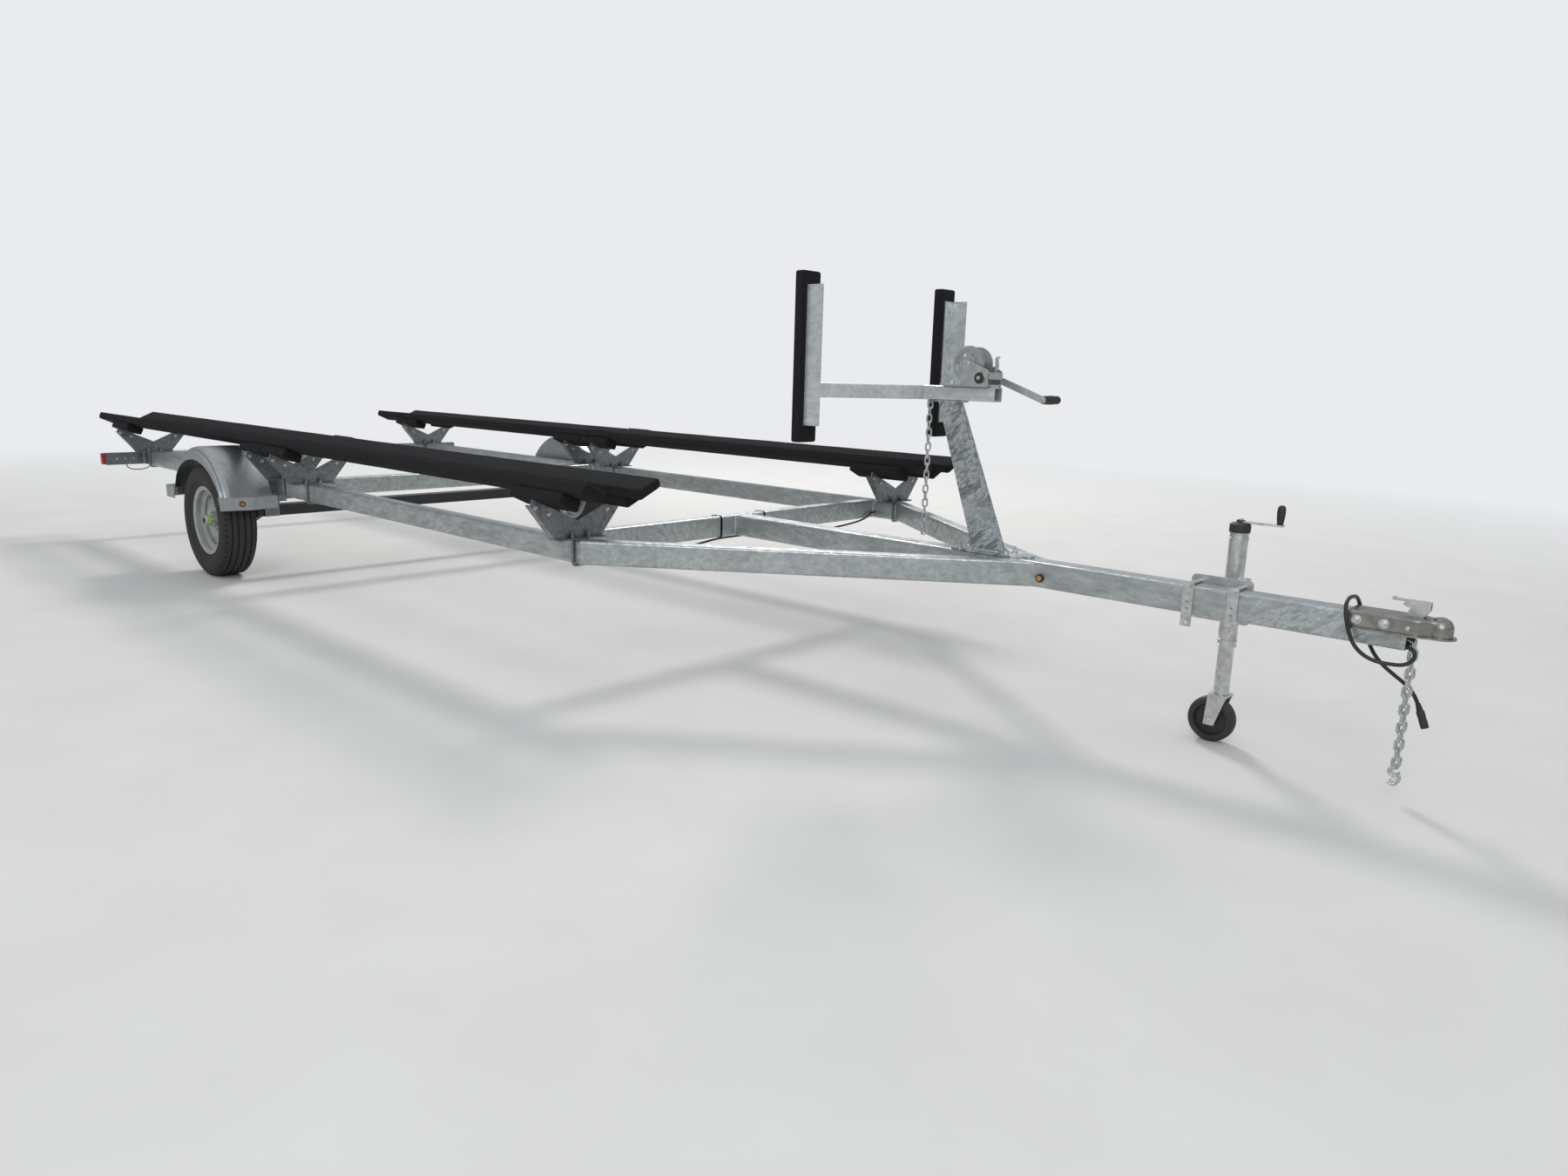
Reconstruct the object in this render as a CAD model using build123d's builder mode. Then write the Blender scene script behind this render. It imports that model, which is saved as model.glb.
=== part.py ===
from build123d import *
from math import atan2, cos, degrees, hypot, pi, radians, sin, tan
import os

os.makedirs("parts", exist_ok=True)

# Pontoon-boat bunk trailer, single axle, in millimetres.
# +X points forward to the coupler, +Y to the trailer's left, +Z up. The origin is on
# the floor under the middle of the overall length.

# Frame of welded tube
FRAME_W = 2000.0       # over the outer faces of the rails
RAIL_L = 4660.0        # rear end to front corner
RAIL_W = 60.0
TUBE_H = 89.0          # all frame tubes have this height
TUBE_WALL = 4.8
TUBE_R = 9.0           # outer corner radius
FRAME_TOP = 541.0      # above the floor, unladen
TONGUE_W = 89.0
TONGUE_REACH = 2447.0  # ahead of the rails' front corners
ARM_REACH = 1299.0     # ahead of the front corners, where the arms meet the tongue
FRONT_CROSS = -163.0   # front faces of the crossmembers, from the front corners
MIDDLE_CROSS = -2460.0

# Wheels and axle
AXLE_X = -2950.0       # spindle, from the front corners
TYRE_BESIDE = 180.0    # tyre's middle plane beyond the rails
TRACK = FRAME_W + 2 * TYRE_BESIDE
TYRE_R = 300.0
TYRE_W = 180.0
RIM_R = 165.1          # bead seat of a 13 inch wheel
RIM_W = 128.0
SPINDLE_R = 17.4
BEAM_AHEAD = 130.0     # axle beam's middle ahead of the spindle
BEAM_ABOVE = 50.0      # and above it
BEAM_SIDE = 62.0
RUN_GAP = 0.1          # radial, spindle to hub

# Fenders
FENDER_R = 381.0       # arch, outside
ARCH_RISE = 12.0       # arch's centre above the spindle
FENDER_W = 250.0
FENDER_BESIDE = 290.0  # outer face beyond the rails
FENDER_OUT = FRAME_W / 2 + FENDER_BESIDE
FENDER_T = 3.0
SHOULDER = 46.0         # rounded over, in from the outer face
BEAD = 27.0             # rolled bead below the crown
OPENING_R = 328.0      # half width of the wheel opening, at the skirts' foot
SKIRT_H = 66.0
PROW = 34.0            # fold of each skirt beyond its outer corner
REAR_LEDGE = 94.0      # rear ledge, at its outer corner
SUPPORT_W = 38.0       # angle under each ledge

# Bunks
V_STATIONS = (-50.0, -2265.0, -2540.0, -4602.0)  # bracket plates, from the front corners
V_SLOPE = 25.0
V_NOTCH = 66.0         # notch above the frame
V_TIP = 205.0          # tips from the rail's middle
V_FOOT = 105.0
V_T = 6.0
V_FLANGE = 32.0        # flanges bent back along the lower edges
BOARD_W = 96.0
BOARD_T = 44.0         # plank and its carpet
BLOCK_W = 92.0
BLOCK_L = 300.0
BUNK_FRONT = 215.0     # board ends, from the front corners
BUNK_REAR = -5080.0
BUNK_SPLICE = -2330.0
SPLICE_GAP = 3.0
BOARD_SHIFT = 168.0    # board's middle from the notch, along the slope
U_BOLT_R = 5.0
U_BOLT_REACH = 14.0    # ahead of the plate's middle

# Bow stop
POST_FOOT_REAR = 1035.0    # edges of its sides, from the front corners
POST_FOOT_FRONT = 1146.0
POST_TOP_REAR = 853.0
POST_TOP_FRONT = 927.0
POST_W = 51.0
BASE_REAR = 962.0
BASE_FRONT = 1267.0
BASE_T = 8.0
BASE_BOLTS = (985.0, 1178.0)
STOP_TUBE = 51.0
STOP_TUBE_Z = 535.0    # underside above the frame
STOP_TUBE_REAR = 745.0
STOP_TUBE_FRONT = 1085.0
GUIDE_X = 550.0
GUIDE_Y = 422.0
GUIDE_TOP = 966.0      # above the frame
GUIDE_BOTTOM = 374.0
GUIDE_W = 92.0
GUIDE_T = 44.0

# Coupler and jack
COUPLER_L = 262.0
COUPLER_REAR = 2296.0
BALL_R = 25.4
JACK_X = 1908.0
JACK_Y = 150.0
JACK_TUBE_R = 28.5
JACK_LEG_R = 24.0
JACK_WHEEL_R = 76.0
JACK_REACH = 265.0     # swing pivot to wheel centre with the leg wound in

FRONT = (-BUNK_REAR - COUPLER_REAR - COUPLER_L) / 2
RAIL_Y = (FRAME_W - RAIL_W) / 2
FRAME_BOTTOM = FRAME_TOP - TUBE_H
FRAME_MID = FRAME_TOP - TUBE_H / 2
SIDES = (("right", -1), ("left", 1))


def write(piece, name):
    """Label a finished piece and write it."""
    piece.label = name
    export_step(piece, f"parts/{name}.step")


def tube_section(plane, width, height):
    """Rounded rectangular tube section."""
    with BuildSketch(plane) as section:
        RectangleRounded(width, height, TUBE_R)
        inner = (width - 2 * TUBE_WALL, height - 2 * TUBE_WALL)
        RectangleRounded(*inner, TUBE_R - TUBE_WALL, mode=Mode.SUBTRACT)
    return section.sketch


def straight_tube(x0, x1, y, width):
    """Tube along X with its top at the frame's top."""
    section = tube_section(Plane.YZ.offset(x0), width, TUBE_H)
    with BuildPart() as tube:
        extrude(section.moved(Location((0, y, FRAME_MID))), amount=x1 - x0, dir=(1, 0, 0))
    return tube


def side_plane(x, y, z):
    """Plane facing the right side, its own X forward and its own Y up."""
    return Plane((x, y, z), x_dir=(1, 0, 0), z_dir=(0, -1, 0))


# Frame
ARM_ANGLE = degrees(atan2(FRAME_W / 2 - TONGUE_W / 2, ARM_REACH))
for side, s in SIDES:
    corner = Vector(FRONT, s * FRAME_W / 2, FRAME_MID)
    half_turn = radians(ARM_ANGLE / 2)
    mitre = Plane(corner, x_dir=(0, 0, 1), z_dir=(cos(half_turn), -s * sin(half_turn), 0))
    rail_section = tube_section(Plane.YZ.offset(FRONT - RAIL_L), RAIL_W, TUBE_H)
    with BuildPart() as rail:
        start = rail_section.moved(Location((0, s * RAIL_Y, FRAME_MID)))
        extrude(start, amount=RAIL_L + RAIL_W, dir=(1, 0, 0))
        split(bisect_by=mitre, keep=Keep.BOTTOM)
    write(rail.part, f"rail_{side}")

    along = Vector(cos(radians(ARM_ANGLE)), -s * sin(radians(ARM_ANGLE)), 0)
    across = Vector(0, 0, 1).cross(along)
    start = corner - across * s * RAIL_W / 2 - along * RAIL_W
    arm_section = tube_section(Plane(start, x_dir=across, z_dir=along), RAIL_W, TUBE_H)
    with BuildPart() as arm:
        extrude(arm_section, amount=hypot(ARM_REACH, FRAME_W / 2) + 3 * RAIL_W, dir=along)
        split(bisect_by=mitre, keep=Keep.TOP)
        split(bisect_by=Plane((FRONT, s * TONGUE_W / 2, 0), x_dir=(1, 0, 0), z_dir=(0, s, 0)), keep=Keep.TOP)
    write(arm.part, f"arm_{side}")

tongue = straight_tube(FRONT + FRONT_CROSS, FRONT + TONGUE_REACH, 0, TONGUE_W)
write(tongue.part, "tongue")

CROSS_L = FRAME_W - 2 * RAIL_W
for name, face in (("front", FRONT_CROSS), ("middle", MIDDLE_CROSS), ("rear", RAIL_W - RAIL_L)):
    middle_x = FRONT + face - RAIL_W / 2
    cross_section = tube_section(Plane.XZ.offset(-CROSS_L / 2), RAIL_W, TUBE_H)
    with BuildPart() as crossmember:
        extrude(cross_section.moved(Location((middle_x, 0, FRAME_MID))), amount=CROSS_L, dir=(0, -1, 0))
    write(crossmember.part, f"{name}_crossmember")

# Axle
SPINDLE_Z = TYRE_R
BEAM_X = FRONT + AXLE_X + BEAM_AHEAD
BEAM_Z = SPINDLE_Z + BEAM_ABOVE
SPINDLE_X = FRONT + AXLE_X
BEAM_L = 2 * RAIL_Y + 90.0
HANGER_L = 150.0
HANGER_W = 76.0
HANGER_T = 8.0
with BuildPart() as axle_beam:
    with BuildSketch(Plane.XZ.offset(-BEAM_L / 2)):
        with Locations((BEAM_X, BEAM_Z)):
            RectangleRounded(BEAM_SIDE, BEAM_SIDE, 8.0)
    extrude(amount=BEAM_L)
write(axle_beam.part, "axle_beam")

# Hangers: a plate under the rail, two webs and a saddle on the beam
with BuildPart() as axle_hangers:
    with BuildSketch(Plane.XZ.offset(-HANGER_W / 2)):
        with BuildLine():
            Polyline(
                (BEAM_X - HANGER_L / 2, FRAME_BOTTOM),
                (BEAM_X + HANGER_L / 2, FRAME_BOTTOM),
                (BEAM_X + HANGER_L / 2, FRAME_BOTTOM - HANGER_T),
                (BEAM_X + BEAM_SIDE / 2 + HANGER_T, BEAM_Z + BEAM_SIDE / 2),
                (BEAM_X + BEAM_SIDE / 2 + HANGER_T, BEAM_Z - BEAM_SIDE / 2),
                (BEAM_X + BEAM_SIDE / 2, BEAM_Z - BEAM_SIDE / 2),
                (BEAM_X + BEAM_SIDE / 2, BEAM_Z + BEAM_SIDE / 2),
                (BEAM_X - BEAM_SIDE / 2, BEAM_Z + BEAM_SIDE / 2),
                (BEAM_X - BEAM_SIDE / 2, BEAM_Z - BEAM_SIDE / 2),
                (BEAM_X - BEAM_SIDE / 2 - HANGER_T, BEAM_Z - BEAM_SIDE / 2),
                (BEAM_X - BEAM_SIDE / 2 - HANGER_T, BEAM_Z + BEAM_SIDE / 2),
                (BEAM_X - HANGER_L / 2, FRAME_BOTTOM - HANGER_T),
                close=True,
            )
        make_face()
    extrude(amount=HANGER_W)
hanger = axle_hangers.part
with BuildPart() as axle_hangers:
    add(hanger.moved(Location((0, RAIL_Y, 0))))
    add(hanger.moved(Location((0, -RAIL_Y, 0))))
write(axle_hangers.part, "axle_hangers")

# Trailing arms with their spindles
ARM_T = 26.0
ARM_INNER = BEAM_L / 2
SPINDLE_END = TRACK / 2 + 44.0
with BuildPart() as trailing_arm:
    with BuildSketch(Plane.XZ.offset(-ARM_INNER - ARM_T)):
        with Locations(((BEAM_X + SPINDLE_X) / 2, (BEAM_Z + SPINDLE_Z) / 2)):
            lean = degrees(atan2(BEAM_ABOVE, BEAM_AHEAD))
            SlotCenterToCenter(hypot(BEAM_AHEAD, BEAM_ABOVE), 72.0, rotation=lean)
    extrude(amount=ARM_T)
    with BuildSketch(Plane.XZ.offset(-ARM_INNER - ARM_T)):
        with Locations((SPINDLE_X, SPINDLE_Z)):
            Circle(SPINDLE_R)
    extrude(amount=-(SPINDLE_END - ARM_INNER - ARM_T))
left_arm = trailing_arm.part
with BuildPart() as trailing_arms:
    add(left_arm)
    add(left_arm.mirror(Plane.XZ))
write(trailing_arms.part, "trailing_arms")

# Wheels
SPOKES = 8
LUGS = 5
HUB_R = 40.0
CAP_R = 25.0
WINDOW_R = 118.0       # middle of the windows
WINDOW_H = 30.0
WINDOW_W = 38.0        # along the outer side
WINDOW_FILLET = 3.5
LIP_R = RIM_R + 17.0
for side, s in SIDES:
    middle = s * TRACK / 2
    wheel_plane = Plane((SPINDLE_X, middle, SPINDLE_Z), x_dir=(1, 0, 0), z_dir=(0, s, 0))
    half = Plane((SPINDLE_X, middle, SPINDLE_Z), x_dir=(0, s, 0), z_dir=(-1, 0, 0) if s > 0 else (1, 0, 0))
    axis = Axis((SPINDLE_X, middle, SPINDLE_Z), (0, 1, 0))
    with BuildPart() as tyre:
        with BuildSketch(half):
            with BuildLine():
                bead = RIM_W / 2 - 6.0
                wall = TYRE_W / 2
                crown = 66.0
                tall = TYRE_R - RIM_R
                flank = (
                    (bead, RIM_R + 2.0), (bead + 6.0, RIM_R + 0.14 * tall),
                    (wall - 7.0, RIM_R + 0.31 * tall),
                    (wall, RIM_R + 0.52 * tall), (wall - 5.0, RIM_R + 0.73 * tall),
                    (crown + 9.0, TYRE_R - 12.0),
                    (crown, TYRE_R - 3.0), (crown / 2, TYRE_R),
                )
                Polyline(*flank, *[(-w, r) for w, r in reversed(flank)], close=True)
            make_face()
        revolve(axis=axis)
    write(tyre.part, f"tyre_{side}")

    # Rim: rolled barrel, dished disc with windows, lug holes and hub hole
    with BuildPart() as rim:
        with BuildSketch(half):
            with BuildLine():
                edge = RIM_W / 2
                well = RIM_R - 22.0
                sheet = 4.0
                Polyline(
                    (edge + 6.0, LIP_R), (edge + 1.0, LIP_R), (edge - 5.5, RIM_R + 1.7),
                    (edge - 22.0, RIM_R + 1.7),
                    (edge - 34.0, well), (-edge + 40.0, well), (-edge + 26.0, RIM_R + 1.7),
                    (-edge + 5.5, RIM_R + 1.7),
                    (-edge - 1.0, LIP_R), (-edge - 6.0, LIP_R), (-edge, RIM_R - sheet),
                    (-edge + 26.0, RIM_R - sheet),
                    (-edge + 38.0, well - sheet), (edge - 36.0, well - sheet), (edge - 24.0, RIM_R - sheet),
                    (edge, RIM_R - sheet), close=True,
                )
            make_face()
        revolve(axis=axis)
        with BuildSketch(half):
            with BuildLine():
                Polyline(
                    (2.0, HUB_R - 8.0), (8.0, HUB_R - 8.0), (8.0, 70.0), (26.0, 98.0),
                    (22.0, 128.0), (12.0, well - sheet),
                    (4.0, well - sheet), (14.0, 126.0), (19.0, 99.0), (2.0, 72.0), close=True,
                )
            make_face()
        revolve(axis=axis)
        with BuildSketch(wheel_plane) as windows:
            with PolarLocations(WINDOW_R, SPOKES, start_angle=180.0 / SPOKES):
                Polygon(
                    (-WINDOW_H / 2, 0), (WINDOW_H / 2, -WINDOW_W / 2), (WINDOW_H / 2, WINDOW_W / 2),
                    align=None,
                )
            fillet(windows.vertices(), WINDOW_FILLET)
        extrude(amount=60.0, mode=Mode.SUBTRACT)
        with BuildSketch(wheel_plane):
            with PolarLocations(57.15, LUGS):
                Circle(8.0)
        extrude(amount=40.0, mode=Mode.SUBTRACT)
    write(rim.part, f"rim_{side}")

    # Hub: flange with studs and the bearing protector's cap
    with BuildPart() as hub:
        with BuildSketch(half):
            with BuildLine():
                Polyline(
                    (-46.0, SPINDLE_R + RUN_GAP), (50.0, SPINDLE_R + RUN_GAP), (50.0, 0),
                    (78.0, 0), (78.0, 17.0), (74.0, CAP_R - 1.0),
                    (36.0, CAP_R), (34.0, 31.0), (2.0, 31.0), (2.0, 72.0), (-8.0, 72.0),
                    (-10.0, HUB_R), (-46.0, HUB_R - 6.0), close=True,
                )
            make_face()
        revolve(axis=axis)
        with BuildSketch(wheel_plane):
            with PolarLocations(57.15, LUGS):
                Circle(6.3)
        extrude(amount=30.0)
        with BuildSketch(wheel_plane.offset(8.0)):
            with PolarLocations(57.15, LUGS):
                RegularPolygon(10.5, 6)
        extrude(amount=15.0)
    write(hub.part, f"hub_{side}")

# Fenders: arched skin, outer flange round the wheel opening, inner panel and a skirted ledge at each end
LEDGE_TOP = FRAME_BOTTOM + FENDER_T
SKIRT_LOW = LEDGE_TOP - SKIRT_H
ARCH_Z = SPINDLE_Z + ARCH_RISE
ARCH_FOOT = (FENDER_R ** 2 - (LEDGE_TOP - ARCH_Z) ** 2) ** 0.5
LEDGE_SPAN = 61.0      # ledge behind its skirt, over the support
LEDGE_BACK = ARCH_FOOT - LEDGE_SPAN
SKIRT_INNER = FRAME_W / 2 + 12.0
OPENING_H = 625.0 - SKIRT_LOW
fender_face = side_plane(SPINDLE_X, -FENDER_OUT, 0)

ledges = []
for end, reach in ((1, ARCH_FOOT), (-1, ARCH_FOOT + REAR_LEDGE)):
    with BuildPart() as ledge:
        with BuildSketch(Plane((SPINDLE_X, 0, SKIRT_LOW))):
            with BuildLine():
                Polyline(
                    (end * (LEDGE_BACK - 40.0), -FENDER_OUT), (end * reach, -FENDER_OUT),
                    (end * (reach + PROW), -FENDER_OUT + 140.0), (end * (reach - 2.0), -SKIRT_INNER),
                    (end * (LEDGE_BACK - 40.0), -SKIRT_INNER), close=True,
                )
            make_face()
        extrude(amount=SKIRT_H)
        with BuildSketch(Plane((SPINDLE_X, 0, SKIRT_LOW))):
            with BuildLine():
                Polyline(
                    (end * (LEDGE_BACK - 41.0), -FENDER_OUT + FENDER_T),
                    (end * (reach - FENDER_T), -FENDER_OUT + FENDER_T),
                    (end * (reach + PROW - FENDER_T), -FENDER_OUT + 140.0),
                    (end * (reach - 2.0 - FENDER_T), -SKIRT_INNER),
                    (end * (reach - 2.0 - FENDER_T), -SKIRT_INNER + 1.0),
                    (end * (LEDGE_BACK - 41.0), -SKIRT_INNER + 1.0), close=True,
                )
            make_face()
        extrude(amount=SKIRT_H - FENDER_T, mode=Mode.SUBTRACT)
        back = Plane((SPINDLE_X + end * LEDGE_BACK, 0, 0), x_dir=(0, 1, 0), z_dir=(end, 0, 0))
        split(bisect_by=back, keep=Keep.TOP)
    ledges.append(ledge.part)


def skin_line(wall):
    """Section of the skin, as (inset, radius), from its inner edge over shoulder and bead to the side face."""
    return (
        (FENDER_W, FENDER_R - wall), (SHOULDER, FENDER_R - wall),
        (SHOULDER * 0.62 + wall * 0.3, FENDER_R - 3.0 - wall),
        (SHOULDER * 0.38 + wall * 0.6, FENDER_R - 11.0 - wall * 0.8),
        (SHOULDER * 0.34 + wall, FENDER_R - BEAD + 4.0),
        (SHOULDER * 0.14 + wall, FENDER_R - BEAD - 2.0), (wall, FENDER_R - BEAD - 12.0),
        (wall, FENDER_R - BEAD - 90.0),
    )


arch_plane = Plane((SPINDLE_X, -FENDER_OUT, ARCH_Z), x_dir=(0, 1, 0), z_dir=(1, 0, 0))
with BuildPart() as fender:
    with BuildSketch(arch_plane):
        with BuildLine():
            Polyline(*skin_line(0), *reversed(skin_line(FENDER_T)), close=True)
        make_face()
    revolve(axis=Axis((SPINDLE_X, 0, ARCH_Z), (0, 1, 0)))
    with BuildSketch(side_plane(SPINDLE_X, -FENDER_OUT + FENDER_W, ARCH_Z)):
        Circle(FENDER_R)
    extrude(amount=FENDER_T)
    split(bisect_by=Plane.XY.offset(LEDGE_TOP), keep=Keep.TOP)
    add(ledges)
    with BuildSketch(fender_face):
        with Locations((0, SKIRT_LOW)):
            Ellipse(OPENING_R, OPENING_H)
    extrude(amount=-SHOULDER, mode=Mode.SUBTRACT)
right_fender = fender.part
write(right_fender, "fender_right")
write(right_fender.mirror(Plane.XZ), "fender_left")

# Angles from under the rails to under the ledges
with BuildPart() as fender_supports:
    for end in (1, -1):
        x = SPINDLE_X + end * (LEDGE_BACK + 2.0)
        for s in (-1, 1):
            inner = FRAME_W / 2 - RAIL_W + 4.0
            outer = FENDER_OUT - FENDER_T - 1.0
            with BuildSketch(Plane.XY.offset(FRAME_BOTTOM - 5.0)):
                with Locations((x + end * SUPPORT_W / 2, s * (inner + outer) / 2)):
                    Rectangle(SUPPORT_W, outer - inner)
            extrude(amount=5.0)
            with BuildSketch(Plane.XY.offset(FRAME_BOTTOM - SUPPORT_W)):
                with Locations((x + end * 2.5, s * (inner + outer) / 2)):
                    Rectangle(5.0, outer - inner)
            extrude(amount=SUPPORT_W - 5.0)
write(fender_supports.part, "fender_supports")


# Bunk brackets
def bracket(station, y):
    """V plate on its foot, standing across a rail."""
    rise = tan(radians(V_SLOPE))
    shoulder = FRAME_TOP + V_NOTCH + V_TIP * rise - 30.0
    with BuildPart() as one:
        with BuildSketch(Plane.YZ.offset(FRONT + station - V_T / 2)):
            with BuildLine():
                Polyline(
                    (y - V_FOOT, FRAME_TOP + V_T), (y - V_TIP, FRAME_TOP + V_NOTCH + V_TIP * rise - 30.0),
                    (y - V_TIP + 8.0, FRAME_TOP + V_NOTCH + (V_TIP - 8.0) * rise), (y, FRAME_TOP + V_NOTCH),
                    (y + V_TIP - 8.0, FRAME_TOP + V_NOTCH + (V_TIP - 8.0) * rise),
                    (y + V_TIP, FRAME_TOP + V_NOTCH + V_TIP * rise - 30.0),
                    (y + V_FOOT, FRAME_TOP + V_T), close=True,
                )
            make_face()
            holes = [(s * reach, reach * rise - 26.0) for s in (-1, 1) for reach in (130.0, 186.0)]
            with Locations(*[(y + across, FRAME_TOP + V_NOTCH + up) for across, up in holes]):
                Circle(4.5, mode=Mode.SUBTRACT)
        extrude(amount=V_T)
        for s in (-1, 1):
            with BuildSketch(Plane.YZ.offset(FRONT + station - V_FLANGE)):
                with BuildLine():
                    Polyline(
                        (y + s * V_FOOT, FRAME_TOP + V_T), (y + s * V_TIP, shoulder),
                        (y + s * (V_TIP - 6.0), shoulder + 3.0),
                        (y + s * (V_FOOT - 7.0), FRAME_TOP + V_T), close=True,
                    )
                make_face()
            extrude(amount=V_FLANGE)
        with BuildSketch(Plane.XY.offset(FRAME_TOP)):
            with Locations((FRONT + station - V_FLANGE / 2 + U_BOLT_REACH, y)):
                Rectangle(2 * U_BOLT_REACH + V_FLANGE, 2 * V_FOOT)
        extrude(amount=V_T)
        with BuildSketch(Plane.XY.offset(FRAME_TOP)):
            for edge in (1, -1):
                with Locations((FRONT + station + U_BOLT_REACH, y + edge * (RAIL_W / 2 + U_BOLT_R + 1.0))):
                    Circle(U_BOLT_R + 0.6)
        extrude(amount=V_T, mode=Mode.SUBTRACT)
    return one.part


with BuildPart() as bunk_brackets:
    for station in V_STATIONS:
        for y in (-RAIL_Y, RAIL_Y):
            add(bracket(station, y))
write(bunk_brackets.part, "bunk_brackets")


def u_bolt(x, y):
    """U-bolt round a rail, threaded ends up, with its nuts."""
    leg = RAIL_W / 2 + U_BOLT_R + 1.0
    low = FRAME_BOTTOM - U_BOLT_R - 1.0
    high = FRAME_TOP + V_T + 22.0
    bend = 14.0
    with BuildPart() as one:
        with BuildLine(Plane.YZ.offset(x)) as path:
            FilletPolyline((y - leg, high), (y - leg, low), (y + leg, low), (y + leg, high), radius=bend)
        with BuildSketch(Plane(path.line @ 0, z_dir=path.line % 0)):
            Circle(U_BOLT_R)
        sweep()
        with BuildSketch(Plane.XY.offset(FRAME_TOP + V_T)):
            with Locations((x, y - leg), (x, y + leg)):
                RegularPolygon(9.2, 6)
        extrude(amount=9.0)
    return one.part


with BuildPart() as bunk_u_bolts:
    for station in V_STATIONS:
        for y in (-RAIL_Y, RAIL_Y):
            add(u_bolt(FRONT + station + U_BOLT_REACH, y))
write(bunk_u_bolts.part, "bunk_u_bolts")


def sloped(y, lean, x0, x1, shift, width, low, thick, bevel):
    """Plank lying along X on the slope of a V, from its notch line."""
    notch = Vector(0, y, FRAME_TOP + V_NOTCH)
    across = Vector(0, lean * cos(radians(V_SLOPE)), sin(radians(V_SLOPE)))
    up = Vector(0, -lean * sin(radians(V_SLOPE)), cos(radians(V_SLOPE)))
    origin = notch + across * shift + up * (low + thick / 2) + Vector(x0, 0, 0)
    with BuildPart() as plank:
        with BuildSketch(Plane(origin, x_dir=across, z_dir=(1, 0, 0))):
            RectangleRounded(width, thick, 7.0)
        extrude(amount=x1 - x0)
        if bevel:
            for x, outward in ((x0, -1), (x1, 1)):
                if outward in bevel:
                    cut = Plane(origin + Vector(x - x0, 0, 0) - up * thick / 2, x_dir=across,
                                z_dir=Vector(1, 0, 0) * outward * 0.62 + up * -0.78)
                    split(bisect_by=cut.offset(-12.0), keep=Keep.BOTTOM)
    return plank.part


for name, lean_out in (("outer_bunks", 1), ("inner_bunks", -1)):
    with BuildPart() as bunks:
        for side, s in SIDES:
            for x0, x1, ends in (
                (BUNK_REAR, BUNK_SPLICE - SPLICE_GAP / 2, (-1,)),
                (BUNK_SPLICE + SPLICE_GAP / 2, BUNK_FRONT, (1,)),
            ):
                add(sloped(s * RAIL_Y, s * lean_out, FRONT + x0, FRONT + x1, BOARD_SHIFT, BOARD_W,
                           BOARD_T, BOARD_T, ends))
    write(bunks.part, name)

with BuildPart() as bunk_blocks:
    for station in V_STATIONS:
        length = BLOCK_L if station in (V_STATIONS[0], V_STATIONS[-1]) else BLOCK_L - 30.0
        for s in (-1, 1):
            for lean in (-1, 1):
                add(sloped(s * RAIL_Y, lean, FRONT + station - length / 2, FRONT + station + length / 2,
                           BOARD_SHIFT, BLOCK_W, 0.0, BOARD_T, ()))
write(bunk_blocks.part, "bunk_blocks")

# Tail lights, on plates bent round the rails' outer faces at the rear
PLATE_T = 5.0
PLATE_H = 78.0
PLATE_OUT = 231.0      # tip beyond the rail's outer face
PLATE_BEHIND = 23.0    # behind the rail's end
FLANGE_L = 56.0        # along the rail, ahead of its end
PLATE_X = FRONT - RAIL_L - PLATE_BEHIND
LAMP_Z = FRAME_MID
with BuildPart() as light_bracket:
    with BuildSketch(Plane.XY.offset(LAMP_Z - PLATE_H / 2)):
        with BuildLine():
            face = -FRAME_W / 2
            bend = 14.0
            l = FilletPolyline(
                (FRONT - RAIL_L + FLANGE_L, face - PLATE_T), (PLATE_X, face - PLATE_T),
                (PLATE_X, face - PLATE_OUT), radius=bend,
            )
            m = FilletPolyline(
                (FRONT - RAIL_L + FLANGE_L, face), (PLATE_X - PLATE_T, face),
                (PLATE_X - PLATE_T, face - PLATE_OUT), radius=bend + PLATE_T,
            )
            Line(l @ 0, m @ 0)
            Line(l @ 1, m @ 1)
        make_face()
    extrude(amount=PLATE_H)
    with BuildSketch(Plane.YZ.offset(PLATE_X - PLATE_T)):
        with Locations(*[(face - PLATE_OUT + d, LAMP_Z) for d in (66.0, 112.0)]):
            Circle(4.0)
    extrude(amount=PLATE_T, mode=Mode.SUBTRACT)
with BuildPart() as light_brackets:
    add(light_bracket.part)
    add(light_bracket.part.mirror(Plane.XZ))
write(light_brackets.part, "light_brackets")

LAMP_L = 190.0
LAMP_H = 76.0
LAMP_D = 42.0
with BuildPart() as tail_lights:
    for side, s in SIDES:
        with BuildSketch(Plane.YZ.offset(PLATE_X - PLATE_T - LAMP_D)):
            with Locations((s * (FRAME_W / 2 + PLATE_OUT + 19.0 - LAMP_L / 2), LAMP_Z)):
                RectangleRounded(LAMP_L, LAMP_H, 10.0)
        extrude(amount=LAMP_D)
write(tail_lights.part, "tail_lights")

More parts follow.
